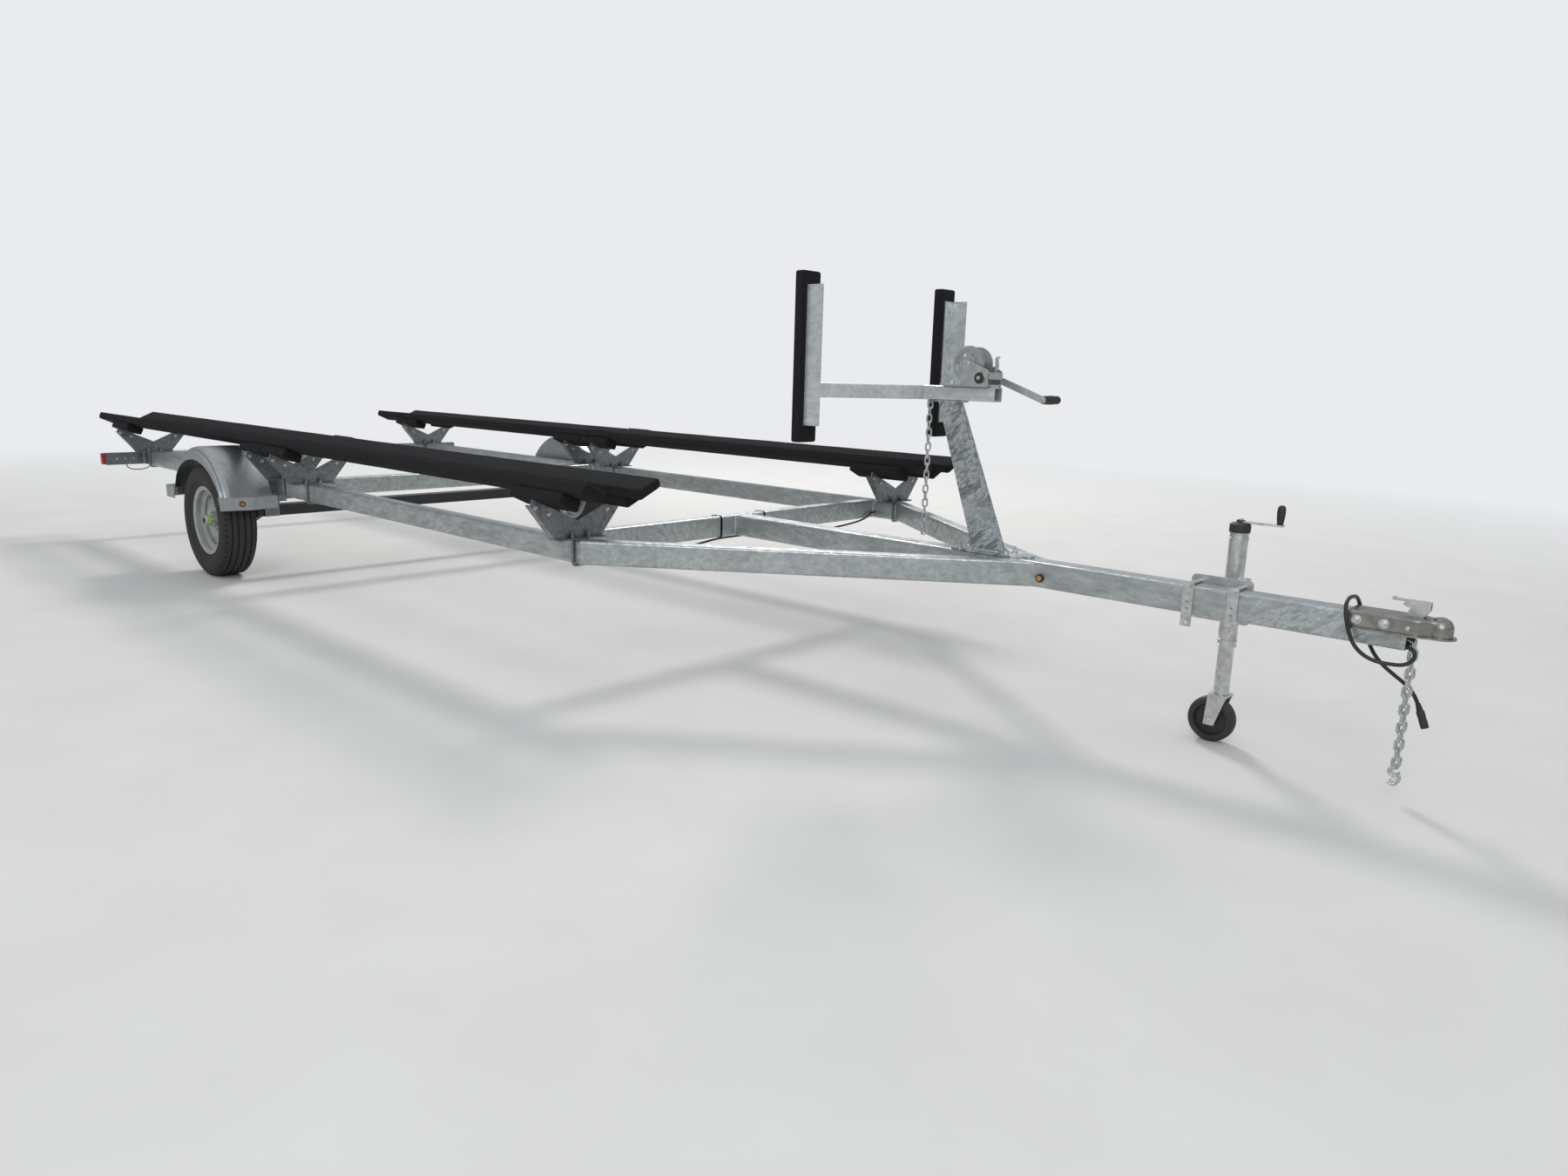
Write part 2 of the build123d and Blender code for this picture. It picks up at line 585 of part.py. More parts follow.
# Amber side markers, on the front skirts and on the tongue
MARKER_R = 11.0
MARKER_D = 9.0
MARKER_BACK = 92.0     # from the fender's outer face
fold = atan2(PROW, 140.0)
with BuildPart() as marker_lights:
    for side, s in SIDES:
        skirt_x = SPINDLE_X + ARCH_FOOT + PROW * MARKER_BACK / 140.0
        on_skirt = (skirt_x, s * (FENDER_OUT - MARKER_BACK), SKIRT_LOW + SKIRT_H / 2)
        outward = (cos(fold), s * sin(fold), 0)
        with BuildSketch(Plane(on_skirt, z_dir=outward)):
            Circle(MARKER_R)
        extrude(amount=MARKER_D)
        on_tongue = (FRONT + ARM_REACH + 28.0, s * TONGUE_W / 2, FRAME_TOP - 54.0)
        with BuildSketch(Plane(on_tongue, z_dir=(0, s, 0))):
            Circle(MARKER_R)
        extrude(amount=MARKER_D)
write(marker_lights.part, "marker_lights")

# Winch post on its base plate
POST_T = 6.0
post_plane = side_plane(FRONT, -POST_W / 2, FRAME_TOP)
with BuildPart() as winch_post:
    with BuildSketch(Plane.XY.offset(FRAME_TOP)):
        with BuildLine():
            half = TONGUE_W / 2 + 4.0
            Polyline(
                (FRONT + BASE_REAR, -half), (FRONT + BASE_FRONT - 60.0, -half), (FRONT + BASE_FRONT, -16.0),
                (FRONT + BASE_FRONT, 16.0), (FRONT + BASE_FRONT - 60.0, half),
                (FRONT + BASE_REAR, half), close=True,
            )
        make_face()
        with Locations(*[(FRONT + x, y) for x in BASE_BOLTS for y in (-30.0, 30.0)]):
            Circle(6.5, mode=Mode.SUBTRACT)
    extrude(amount=BASE_T)
    with BuildSketch(post_plane):
        with BuildLine():
            Polyline(
                (POST_FOOT_REAR, BASE_T), (POST_FOOT_FRONT, BASE_T), (POST_TOP_FRONT, STOP_TUBE_Z - POST_T),
                (POST_TOP_REAR, STOP_TUBE_Z - POST_T), close=True,
            )
        make_face()
    extrude(amount=-POST_W)
    with BuildSketch(post_plane.offset(-POST_T)):
        with BuildLine():
            Polyline(
                (POST_FOOT_REAR - 40.0, BASE_T), (POST_FOOT_FRONT - POST_T, BASE_T),
                (POST_TOP_FRONT - POST_T, STOP_TUBE_Z - POST_T),
                (POST_TOP_REAR - 40.0, STOP_TUBE_Z - POST_T), close=True,
            )
        make_face()
    extrude(amount=-(POST_W - 2 * POST_T), mode=Mode.SUBTRACT)
    with BuildSketch(Plane.XY.offset(FRAME_TOP + STOP_TUBE_Z - POST_T)):
        with Locations((FRONT + (POST_TOP_REAR + POST_TOP_FRONT) / 2 - 8.0, 0)):
            Rectangle(POST_TOP_FRONT - POST_TOP_REAR + 60.0, POST_W)
    extrude(amount=POST_T)
write(winch_post.part, "winch_post")

# Stop tube, open at its front end
STOP_Z = FRAME_TOP + STOP_TUBE_Z + STOP_TUBE / 2
with BuildPart() as stop_tube:
    with BuildSketch(Plane.YZ.offset(FRONT + STOP_TUBE_REAR)):
        with Locations((0, STOP_Z)):
            RectangleRounded(STOP_TUBE, STOP_TUBE, 6.0)
    extrude(amount=STOP_TUBE_FRONT - STOP_TUBE_REAR)
    with BuildSketch(Plane.YZ.offset(FRONT + STOP_TUBE_REAR + 4.0)):
        with Locations((0, STOP_Z)):
            RectangleRounded(STOP_TUBE - 8.0, STOP_TUBE - 8.0, 2.5)
    extrude(amount=STOP_TUBE_FRONT - STOP_TUBE_REAR, mode=Mode.SUBTRACT)
write(stop_tube.part, "stop_tube")

# Guide arms swept out and back, with an upright angle at each end
ANGLE_A = 55.0         # flange behind the board
ANGLE_B = 70.0         # flange standing forward
ANGLE_T = 5.0
ANGLE_TOP = 918.0
ANGLE_BOTTOM = 435.0
GUIDE_FACE = FRONT + GUIDE_X + GUIDE_T / 2
root = Vector(FRONT + STOP_TUBE_REAR + STOP_TUBE / 2, 0, STOP_Z)
tip = Vector(GUIDE_FACE + ANGLE_B / 2 + 4.0, -GUIDE_Y - ANGLE_A / 2, STOP_Z)
along = (tip - root).normalized()
with BuildPart() as guide_arm:
    with BuildSketch(Plane(root, x_dir=Vector(0, 0, 1).cross(along), z_dir=along)):
        RectangleRounded(STOP_TUBE, STOP_TUBE, 6.0)
    extrude(amount=(tip - root).length + 60.0)
    split(bisect_by=side_plane(0, -STOP_TUBE / 2, 0), keep=Keep.TOP)
    split(bisect_by=side_plane(0, -GUIDE_Y - ANGLE_A / 2 + ANGLE_T, 0), keep=Keep.BOTTOM)
    with BuildSketch(Plane.XY.offset(FRAME_TOP + ANGLE_BOTTOM)):
        with Locations((GUIDE_FACE + ANGLE_T / 2, -GUIDE_Y)):
            Rectangle(ANGLE_T, ANGLE_A)
        with Locations((GUIDE_FACE + ANGLE_B / 2, -GUIDE_Y - ANGLE_A / 2 + ANGLE_T / 2)):
            Rectangle(ANGLE_B, ANGLE_T)
    extrude(amount=ANGLE_TOP - ANGLE_BOTTOM)
with BuildPart() as guide_arms:
    add(guide_arm.part)
    add(guide_arm.part.mirror(Plane.XZ))
write(guide_arms.part, "guide_arms")

with BuildPart() as guide_boards:
    with BuildSketch(Plane.XY.offset(FRAME_TOP + GUIDE_BOTTOM)):
        with Locations((FRONT + GUIDE_X, -GUIDE_Y), (FRONT + GUIDE_X, GUIDE_Y)):
            RectangleRounded(GUIDE_T, GUIDE_W, 6.0)
    extrude(amount=GUIDE_TOP - GUIDE_BOTTOM)
write(guide_boards.part, "guide_boards")

# Winch
MODULE = 2.5
GEAR_TEETH = 50
PINION_TEETH = 11
PRESSURE = radians(20.0)
BACKLASH = 0.5
GEAR_W = 9.0
GEAR_Y = -31.0
WEB_R = 47.0           # dished web inside the toothed rim
DISH = 3.0
DRUM_R = 19.0
FLANGE_R = 61.0
DRUM_END = 31.0
SHAFT_R = 6.5
WINCH_FLOOR = FRAME_TOP + STOP_TUBE_Z + STOP_TUBE
WINCH_T = 4.0
WINCH_PAD = 9.0
CENTRES = MODULE * (GEAR_TEETH + PINION_TEETH) / 2
MESH_ANGLE = degrees(atan2(-50.0, 63.0))
GEAR_X = FRONT + 975.0
GEAR_Z = WINCH_FLOOR + WINCH_PAD + MODULE * GEAR_TEETH / 2 + 7.0
PINION_X = GEAR_X + CENTRES * cos(radians(MESH_ANGLE))
PINION_Z = GEAR_Z + CENTRES * sin(radians(MESH_ANGLE))


def gear_face(plane, teeth, addendum, dedendum, phase, slack):
    """Spur gear outline with involute flanks, one tooth centred at the phase angle."""
    pitch_r = MODULE * teeth / 2
    base_r = pitch_r * cos(PRESSURE)
    top_r = pitch_r + addendum
    root_r = pitch_r - dedendum

    def half_angle(r):
        roll = (max(r, base_r) ** 2 / base_r ** 2 - 1) ** 0.5
        involute = roll - atan2(roll, 1)
        at_pitch = tan(PRESSURE) - PRESSURE
        return pi / (2 * teeth) + slack / (2 * pitch_r) + at_pitch - involute

    radii = [max(root_r, base_r) + (top_r - max(root_r, base_r)) * i / 2 for i in range(3)]
    with BuildSketch(plane) as face:
        with BuildLine():
            points = []
            for tooth in range(teeth):
                middle = radians(phase) + 2 * pi * tooth / teeth
                flank = [(root_r, half_angle(radii[0]) + 0.02)] + [(r, half_angle(r)) for r in radii]
                points += [(r * cos(middle - a), r * sin(middle - a)) for r, a in flank]
                points += [(r * cos(middle + a), r * sin(middle + a)) for r, a in reversed(flank)]
            Polyline(*points, close=True)
        make_face()
    return face.sketch


gear_plane = side_plane(GEAR_X, GEAR_Y + GEAR_W / 2, GEAR_Z)
SHIFT = 0.45 * MODULE
with BuildPart() as winch_gear:
    teeth = gear_face(
        gear_plane, GEAR_TEETH, MODULE - SHIFT, 1.25 * MODULE + SHIFT,
        MESH_ANGLE + 180.0 / GEAR_TEETH, -BACKLASH - 0.7 * SHIFT,
    )
    extrude(teeth, amount=GEAR_W, dir=(0, -1, 0))
    with BuildSketch(gear_plane):
        Circle(DRUM_R)
        with PolarLocations(34.0, 6):
            Circle(6.0)
        with PolarLocations(35.0, 6, start_angle=30.0):
            Circle(3.4)
    extrude(amount=GEAR_W, mode=Mode.SUBTRACT)
    with BuildSketch(gear_plane.offset(GEAR_W)):
        Circle(WEB_R)
        Circle(DRUM_R + 5.0, mode=Mode.SUBTRACT)
    extrude(amount=-DISH, mode=Mode.SUBTRACT)
write(winch_gear.part, "winch_gear")

with BuildPart() as winch_drum:
    with BuildSketch(side_plane(GEAR_X, GEAR_Y - GEAR_W / 2, GEAR_Z)):
        Circle(DRUM_R)
    extrude(amount=-(DRUM_END - GEAR_Y + GEAR_W / 2))
    with BuildSketch(side_plane(GEAR_X, DRUM_END, GEAR_Z)):
        Circle(FLANGE_R)
    extrude(amount=3.0)
    with BuildSketch(side_plane(GEAR_X, DRUM_END, GEAR_Z)):
        Circle(SHAFT_R + RUN_GAP)
    extrude(amount=200.0, both=True, mode=Mode.SUBTRACT)
write(winch_drum.part, "winch_drum")

WINCH_HALF = 42.0
PAWL_Y = 14.0
PAWL_W = 16.0
PLATE_REAR = GEAR_X - 24.0
PINION_TIP = MODULE * (PINION_TEETH / 2 + 1) + SHIFT
PLATE_FRONT = PINION_X + PINION_TIP + 15.0
TIE_Z = PINION_Z + PINION_TIP - 1.5
PLATE_FOOT = WINCH_FLOOR + WINCH_PAD
with BuildPart() as winch_frame:
    with BuildSketch(Plane.YZ.offset(PLATE_REAR - 84.0)):
        with Locations((0, WINCH_FLOOR + WINCH_PAD / 2)):
            Rectangle(2 * (WINCH_HALF + WINCH_T), WINCH_PAD)
        for s in (-1, 1):
            with Locations((s * (WINCH_HALF + STOP_TUBE / 2) / 2, WINCH_FLOOR + (WINCH_PAD - WINCH_T) / 2)):
                Rectangle(WINCH_HALF - STOP_TUBE / 2, WINCH_PAD - WINCH_T, mode=Mode.SUBTRACT)
    extrude(amount=PLATE_FRONT - PLATE_REAR + 84.0)
    for y in (-WINCH_HALF, WINCH_HALF + WINCH_T):
        with BuildSketch(side_plane(0, y, 0)):
            with BuildLine():
                Polyline(
                    (PLATE_REAR, PLATE_FOOT), (PLATE_FRONT, PLATE_FOOT), (PLATE_FRONT, PLATE_FOOT + 48.0),
                    (GEAR_X + 12.0, GEAR_Z + 15.0), (GEAR_X - 10.0, GEAR_Z + 15.0),
                    (PLATE_REAR, GEAR_Z), close=True,
                )
            make_face()
            with Locations((PINION_X, PINION_Z)):
                Circle(SHAFT_R + RUN_GAP, mode=Mode.SUBTRACT)
        extrude(amount=WINCH_T)
    with BuildSketch(side_plane(GEAR_X, WINCH_HALF, GEAR_Z)):
        Circle(SHAFT_R)
    extrude(amount=2 * WINCH_HALF)
    with BuildSketch(side_plane(PLATE_FRONT, WINCH_HALF, TIE_Z)):
        with BuildLine():
            Polyline(
                (-18.0, 0), (2.0, 0), (2.0, -20.0), (6.0, -20.0), (6.0, WINCH_T), (-18.0, WINCH_T),
                close=True,
            )
        make_face()
    extrude(amount=2 * WINCH_HALF)
    with BuildSketch(side_plane(PLATE_FRONT, PAWL_Y + PAWL_W / 2, TIE_Z + WINCH_T)):
        with BuildLine():
            Polyline(
                (-16.0, 0), (-8.0, 0), (2.0, 18.0), (-2.0, 46.0), (6.0, 54.0), (2.0, 56.0),
                (-8.0, 48.0), (-5.0, 19.0), close=True,
            )
        make_face()
    extrude(amount=PAWL_W)
write(winch_frame.part, "winch_frame")

CRANK_L = 203.0
CRANK_Y = 66.0
CRANK_ANGLE = -20.0
GRIP_L = 104.0
GRIP_R = 15.0
PIN_R = 5.0            # the grip's pin
pinion_plane = side_plane(PINION_X, GEAR_Y + GEAR_W / 2 + 1.5, PINION_Z)
crank_end = (PINION_X + CRANK_L * cos(radians(CRANK_ANGLE)), PINION_Z + CRANK_L * sin(radians(CRANK_ANGLE)))
with BuildPart() as winch_crank:
    teeth = gear_face(
        pinion_plane, PINION_TEETH, MODULE + SHIFT, 1.25 * MODULE - SHIFT + 0.3,
        MESH_ANGLE + 180.0, -BACKLASH + 0.7 * SHIFT,
    )
    extrude(teeth, amount=GEAR_W + 3.0, dir=(0, -1, 0))
    with BuildSketch(side_plane(PINION_X, CRANK_Y, PINION_Z)):
        Circle(SHAFT_R)
    extrude(amount=CRANK_Y + WINCH_HALF + WINCH_T + 6.0)
    with BuildSketch(side_plane(PINION_X, -WINCH_HALF - WINCH_T - 1.0, PINION_Z)):
        Circle(19.0)
    extrude(amount=4.0)
    with BuildSketch(side_plane(0, CRANK_Y, 0)):
        with Locations(((PINION_X + crank_end[0]) / 2, (PINION_Z + crank_end[1]) / 2)):
            SlotCenterToCenter(CRANK_L, 24.0, rotation=CRANK_ANGLE)
    extrude(amount=5.0)
    with BuildSketch(side_plane(crank_end[0], CRANK_Y + GRIP_L + 4.0, crank_end[1])):
        Circle(PIN_R)
    extrude(amount=GRIP_L + 5.0)
write(winch_crank.part, "winch_crank")

with BuildPart() as winch_grip:
    with BuildSketch(side_plane(crank_end[0], CRANK_Y + GRIP_L, crank_end[1])):
        Circle(GRIP_R)
        Circle(PIN_R + RUN_GAP, mode=Mode.SUBTRACT)
    extrude(amount=GRIP_L)
write(winch_grip.part, "winch_grip")

# Coupler: a channel over the tongue's end, with a domed ball socket
COUPLER_T = 5.0
COUPLER_SIDE = 46.0
SOCKET_Z = FRAME_TOP - 20.0
SOCKET_R = BALL_R + 0.6
DOME_R = 33.0
LIP = 9.0
SOCKET_X = FRONT + COUPLER_REAR + COUPLER_L - DOME_R - LIP
COUPLER_LOW = FRAME_TOP - COUPLER_SIDE
COUPLER_X = FRONT + COUPLER_REAR
COUPLER_MOUTH = FRONT + TONGUE_REACH + 10.0
NECK = 28.0            # half width behind the dome


def coupler_plan(half, nose):
    """Channel in plan: straight sides over the tongue, drawn in to a round nose."""
    with BuildSketch(Plane.XY.offset(COUPLER_LOW)) as plan:
        with BuildLine():
            Line((COUPLER_X, -half), (COUPLER_X, half))
            for s in (-1, 1):
                Line((COUPLER_X, s * half), (COUPLER_MOUTH, s * half))
                Spline((COUPLER_MOUTH, s * half), (SOCKET_X, s * nose), tangents=((1, 0), (1, 0)))
            ThreePointArc((SOCKET_X, -nose), (SOCKET_X + nose, 0), (SOCKET_X, nose))
        make_face()
    return plan.sketch


with BuildPart() as coupler:
    half = TONGUE_W / 2 + COUPLER_T
    extrude(coupler_plan(half, NECK), amount=COUPLER_SIDE + COUPLER_T)
    crown = coupler.faces().sort_by(Axis.Z)[-1].edges()
    fillet([e for e in crown if e.center().X > COUPLER_X + 1.0], 10.0)
    extrude(coupler_plan(half + LIP - 2.0, DOME_R + LIP), amount=COUPLER_T)
    with BuildSketch(Plane.XY.offset(COUPLER_LOW)):
        with BuildLine():
            inside = TONGUE_W / 2
            Polyline(
                (COUPLER_X - 1.0, -inside), (COUPLER_MOUTH - 2.0, -inside),
                (SOCKET_X - 22.0, -NECK + COUPLER_T),
                (SOCKET_X - 22.0, NECK - COUPLER_T), (COUPLER_MOUTH - 2.0, inside),
                (COUPLER_X - 1.0, inside), close=True,
            )
        make_face()
    extrude(amount=COUPLER_SIDE, mode=Mode.SUBTRACT)
    with Locations((SOCKET_X, 0, COUPLER_LOW)):
        Cylinder(DOME_R, SOCKET_Z - COUPLER_LOW, align=(Align.CENTER, Align.CENTER, Align.MIN))
    with Locations((SOCKET_X, 0, SOCKET_Z)):
        Sphere(DOME_R)
    split(bisect_by=Plane.XY.offset(COUPLER_LOW), keep=Keep.TOP)
    with BuildSketch(Plane.XY.offset(COUPLER_LOW)):
        with Locations((SOCKET_X, 0)):
            Circle(SOCKET_R)
    extrude(amount=SOCKET_Z - COUPLER_LOW, mode=Mode.SUBTRACT)
    with Locations((SOCKET_X, 0, SOCKET_Z)):
        Sphere(SOCKET_R, mode=Mode.SUBTRACT)
write(coupler.part, "coupler")

# Latch: two cheeks on the channel's top carry the lever on its pins
LATCH_X = FRONT + 2397.0
LATCH_Z = FRAME_TOP + 44.0
LATCH_L = 91.0
CHEEK_Y = 10.0
with BuildPart() as coupler_latch:
    for y in (-CHEEK_Y, CHEEK_Y + 3.0):
        with BuildSketch(side_plane(LATCH_X, y, FRAME_TOP)):
            with BuildLine():
                Polyline(
                    (36.0, COUPLER_T), (78.0, COUPLER_T), (LATCH_L, 26.0), (LATCH_L, 44.0),
                    (28.0, 44.0), (24.0, 34.0), (42.0, 28.0), close=True,
                )
            make_face()
        extrude(amount=3.0)
    with BuildSketch(side_plane(LATCH_X, CHEEK_Y + 3.0, LATCH_Z)):
        with BuildLine():
            Polyline((0, 0), (LATCH_L, 0), (LATCH_L, 4.0), (6.0, 4.0), (-3.0, 8.0), (-6.0, 5.0), close=True)
        make_face()
    extrude(amount=2 * CHEEK_Y + 6.0)
    for x, z in ((52.0, 34.0), (76.0, 30.0)):
        with BuildSketch(side_plane(LATCH_X + x, CHEEK_Y + 6.0, FRAME_TOP + z)):
            Circle(4.5)
        extrude(amount=2 * CHEEK_Y + 12.0)
write(coupler_latch.part, "coupler_latch")

# Swivel jack, parked on its wheel
PIVOT_Z = FRAME_MID
PIVOT_X = FRONT + JACK_X
MOUNT_T = 6.0
MOUNT_OUT = TONGUE_W / 2 + MOUNT_T
BOSS_R = 24.0
STRAP_W = 32.0
STRAP_T = 6.0
STRAP_XS = (PIVOT_X - 67.0, PIVOT_X + 70.0)
CLAMP_BOLT_R = 6.0
CLAMP_ZS = (FRAME_TOP + CLAMP_BOLT_R + 1.0, FRAME_BOTTOM - CLAMP_BOLT_R - 1.0)
with BuildPart() as jack_mount:
    with BuildSketch(side_plane(0, MOUNT_OUT, 0)):
        with Locations((PIVOT_X, PIVOT_Z)):
            RectangleRounded(190.0, TUBE_H + 52.0, 14.0)
        with Locations(*[(x, z) for x in STRAP_XS for z in CLAMP_ZS]):
            Circle(CLAMP_BOLT_R, mode=Mode.SUBTRACT)
    extrude(amount=MOUNT_T)
    with BuildSketch(side_plane(PIVOT_X, MOUNT_OUT, PIVOT_Z)):
        Circle(BOSS_R)
    extrude(amount=-12.0)
    with BuildSketch(side_plane(PIVOT_X, MOUNT_OUT + 12.0, PIVOT_Z)):
        Circle(14.0)
    extrude(amount=-24.0)
write(jack_mount.part, "jack_mount")

with BuildPart() as jack_clamps:
    for x in STRAP_XS:
        with BuildSketch(side_plane(0, -TONGUE_W / 2, 0)):
            with Locations((x, FRAME_MID - 12.0)):
                Rectangle(STRAP_W, TUBE_H + 54.0)
            with Locations((x, FRAME_MID - 5.0), (x, FRAME_MID - 27.0), (x, FRAME_BOTTOM - 28.0)):
                Circle(4.5, mode=Mode.SUBTRACT)
        extrude(amount=STRAP_T)
        for z in CLAMP_ZS:
            with BuildSketch(side_plane(x, MOUNT_OUT + 9.0, z)):
                Circle(CLAMP_BOLT_R)
            extrude(amount=MOUNT_OUT + 9.0 + TONGUE_W / 2 + STRAP_T + 8.0)
            with BuildSketch(side_plane(x, -TONGUE_W / 2 - STRAP_T, z)):
                RegularPolygon(10.4, 6)
            extrude(amount=8.0)
            with BuildSketch(side_plane(x, MOUNT_OUT + 8.0, z)):
                RegularPolygon(10.4, 6)
            extrude(amount=8.0)
write(jack_clamps.part, "jack_clamps")

JACK_TOP = PIVOT_Z + 214.0
JACK_BOTTOM = PIVOT_Z - 170.0
LEG_OUT = PIVOT_Z - JACK_WHEEL_R - JACK_REACH   # how far the leg is wound out at rest
FORK_TOP = 2 * JACK_WHEEL_R + 14.0
with BuildPart() as jack_tube:
    with Locations((PIVOT_X, JACK_Y, JACK_BOTTOM)):
        Cylinder(JACK_TUBE_R, JACK_TOP - JACK_BOTTOM, align=(Align.CENTER, Align.CENTER, Align.MIN))
    with BuildSketch(side_plane(PIVOT_X, MOUNT_OUT + 12.0 + 0.3, PIVOT_Z)):
        Circle(38.0)
    extrude(amount=-(JACK_Y - MOUNT_OUT - 12.3))
    with BuildSketch(side_plane(PIVOT_X, MOUNT_OUT, PIVOT_Z)):
        Circle(14.0 + RUN_GAP)
    extrude(amount=-37.0, mode=Mode.SUBTRACT)
    with Locations((PIVOT_X, JACK_Y, JACK_BOTTOM)):
        Cylinder(
            JACK_LEG_R + 0.6, JACK_TOP - JACK_BOTTOM - 8.0,
            align=(Align.CENTER, Align.CENTER, Align.MIN), mode=Mode.SUBTRACT,
        )
write(jack_tube.part, "jack_tube")

LEG_TOP = JACK_TOP - 12.0 - LEG_OUT
with BuildPart() as jack_leg:
    with Locations((PIVOT_X, JACK_Y, FORK_TOP)):
        Cylinder(JACK_LEG_R, LEG_TOP - FORK_TOP, align=(Align.CENTER, Align.CENTER, Align.MIN))
    with Locations((PIVOT_X, JACK_Y, FORK_TOP)):
        Cylinder(8.0 + RUN_GAP, 20.0, align=(Align.CENTER, Align.CENTER, Align.MIN), mode=Mode.SUBTRACT)
write(jack_leg.part, "jack_leg")

TRAIL = 20.0
WHEEL_X = PIVOT_X - TRAIL
CHEEK_IN = 28.0
CHEEK_T = 4.0
with BuildPart() as jack_fork:
    with BuildSketch(Plane.XY.offset(FORK_TOP - 6.0)):
        with Locations((PIVOT_X, JACK_Y)):
            Rectangle(60.0, 2 * (CHEEK_IN + CHEEK_T))
    extrude(amount=5.7)
    with Locations((PIVOT_X, JACK_Y, FORK_TOP - 2.0)):
        Cylinder(8.0, 20.0, align=(Align.CENTER, Align.CENTER, Align.MIN))
    for y in (JACK_Y - CHEEK_IN, JACK_Y + CHEEK_IN + CHEEK_T):
        with BuildSketch(side_plane(0, y, 0)):
            with BuildLine():
                Polyline((PIVOT_X - 30.0, FORK_TOP - 1.0), (PIVOT_X + 30.0, FORK_TOP - 1.0),
                         (WHEEL_X + 17.0, JACK_WHEEL_R - 16.0),
                         (WHEEL_X - 17.0, JACK_WHEEL_R - 16.0), close=True)
            make_face()
        extrude(amount=CHEEK_T)
    with BuildSketch(side_plane(WHEEL_X, JACK_Y + CHEEK_IN + CHEEK_T + 4.0, JACK_WHEEL_R)):
        Circle(6.0)
    extrude(amount=2 * (CHEEK_IN + CHEEK_T + 4.0))
write(jack_fork.part, "jack_fork")

JACK_WHEEL_W = 45.0
with BuildPart() as jack_wheel:
    with BuildSketch(Plane((WHEEL_X, JACK_Y, JACK_WHEEL_R), x_dir=(0, 1, 0), z_dir=(1, 0, 0))):
        with BuildLine():
            w = JACK_WHEEL_W / 2
            flank = (
                (w, 6.0 + RUN_GAP), (w, 18.0), (6.0, 22.0), (6.0, 50.0), (w, 54.0), (w, JACK_WHEEL_R - 9.0),
                (w - 7.0, JACK_WHEEL_R - 2.0), (w / 3, JACK_WHEEL_R),
            )
            Polyline(*flank, *[(-y, r) for y, r in reversed(flank)], close=True)
        make_face()
    revolve(axis=Axis((WHEEL_X, JACK_Y, JACK_WHEEL_R), (0, 1, 0)))
write(jack_wheel.part, "jack_wheel")

# Crank handle of the jack, folded on its top
with BuildPart() as jack_handle:
    with Locations((PIVOT_X, JACK_Y, JACK_TOP)):
        Cylinder(JACK_TUBE_R + 2.0, 18.0, align=(Align.CENTER, Align.CENTER, Align.MIN))
    with BuildSketch(Plane.XZ.offset(-JACK_Y - 3.0)):
        with Locations((PIVOT_X + 60.0, JACK_TOP + 22.0)):
            Rectangle(144.0, 8.0)
    extrude(amount=20.0)
    with Locations((PIVOT_X + 118.0, JACK_Y - 7.0, JACK_TOP + 26.0)):
        Cylinder(11.0, 62.0, align=(Align.CENTER, Align.CENTER, Align.MIN))
write(jack_handle.part, "jack_handle")

# Bow chain from an eye under the stop tube
CHAIN_W = 20.0
BOW_CHAIN_X = FRONT + 800.0
BOW_CHAIN_L = 523.0
with BuildPart() as bow_chain:
    with Locations((BOW_CHAIN_X, 0, FRAME_TOP + STOP_TUBE_Z - BOW_CHAIN_L)):
        Box(CHAIN_W, CHAIN_W, BOW_CHAIN_L, align=(Align.CENTER, Align.CENTER, Align.MIN))
write(bow_chain.part, "bow_chain")

# Safety chains, hanging from a bolt inside the tongue's open end
SAFETY_L = 449.0
SAFETY_X = FRONT + TONGUE_REACH + 0.3 + CHAIN_W / 2
SAFETY_TOP = FRAME_BOTTOM + 22.0
with BuildPart() as safety_chains:
    for y in (2.0, 27.0):
        with Locations((SAFETY_X, y, SAFETY_TOP - SAFETY_L)):
            Box(CHAIN_W, CHAIN_W, SAFETY_L, align=(Align.CENTER, Align.CENTER, Align.MIN))
write(safety_chains.part, "safety_chains")

# Lighting cord: out of the tongue, back under it, over its top and forward again
CORD_R = 5.5
CORD_POINTS = (
    (2408.0, -28.0, -78.4), (2442.0, -29.0, -78.2), (2470.0, -32.0, -84.0),
    (2473.0, -37.0, -111.0), (2450.0, -43.0, -130.0),
    (2412.0, -50.0, -131.0), (2380.0, -59.0, -128.0), (2348.0, -66.0, -113.0), (2322.0, -69.0, -86.0),
    (2306.0, -68.0, -50.0), (2296.0, -67.0, -14.0), (2290.0, -60.0, 18.0), (2288.0, -30.0, 33.0),
    (2289.0, 6.0, 33.0), (2291.0, 40.0, 30.0), (2295.0, 65.0, 10.0), (2303.0, 71.0, -24.0),
    (2316.0, 71.0, -62.0), (2331.0, 68.0, -100.0), (2350.0, 64.0, -134.0), (2378.0, 60.0, -162.0),
    (2412.0, 56.0, -184.0), (2447.0, 55.0, -206.0), (2474.0, 57.0, -236.0), (2488.0, 58.0, -272.0),
)


def cord_radii(points):
    """Largest arc at each inner point that its two runs allow."""
    radii = []
    for before, here, after in zip(points, points[1:], points[2:]):
        a = Vector(*here) - Vector(*before)
        b = Vector(*after) - Vector(*here)
        radii.append(0.45 * min(a.length, b.length) / tan(radians(a.get_angle(b)) / 2))
    return radii


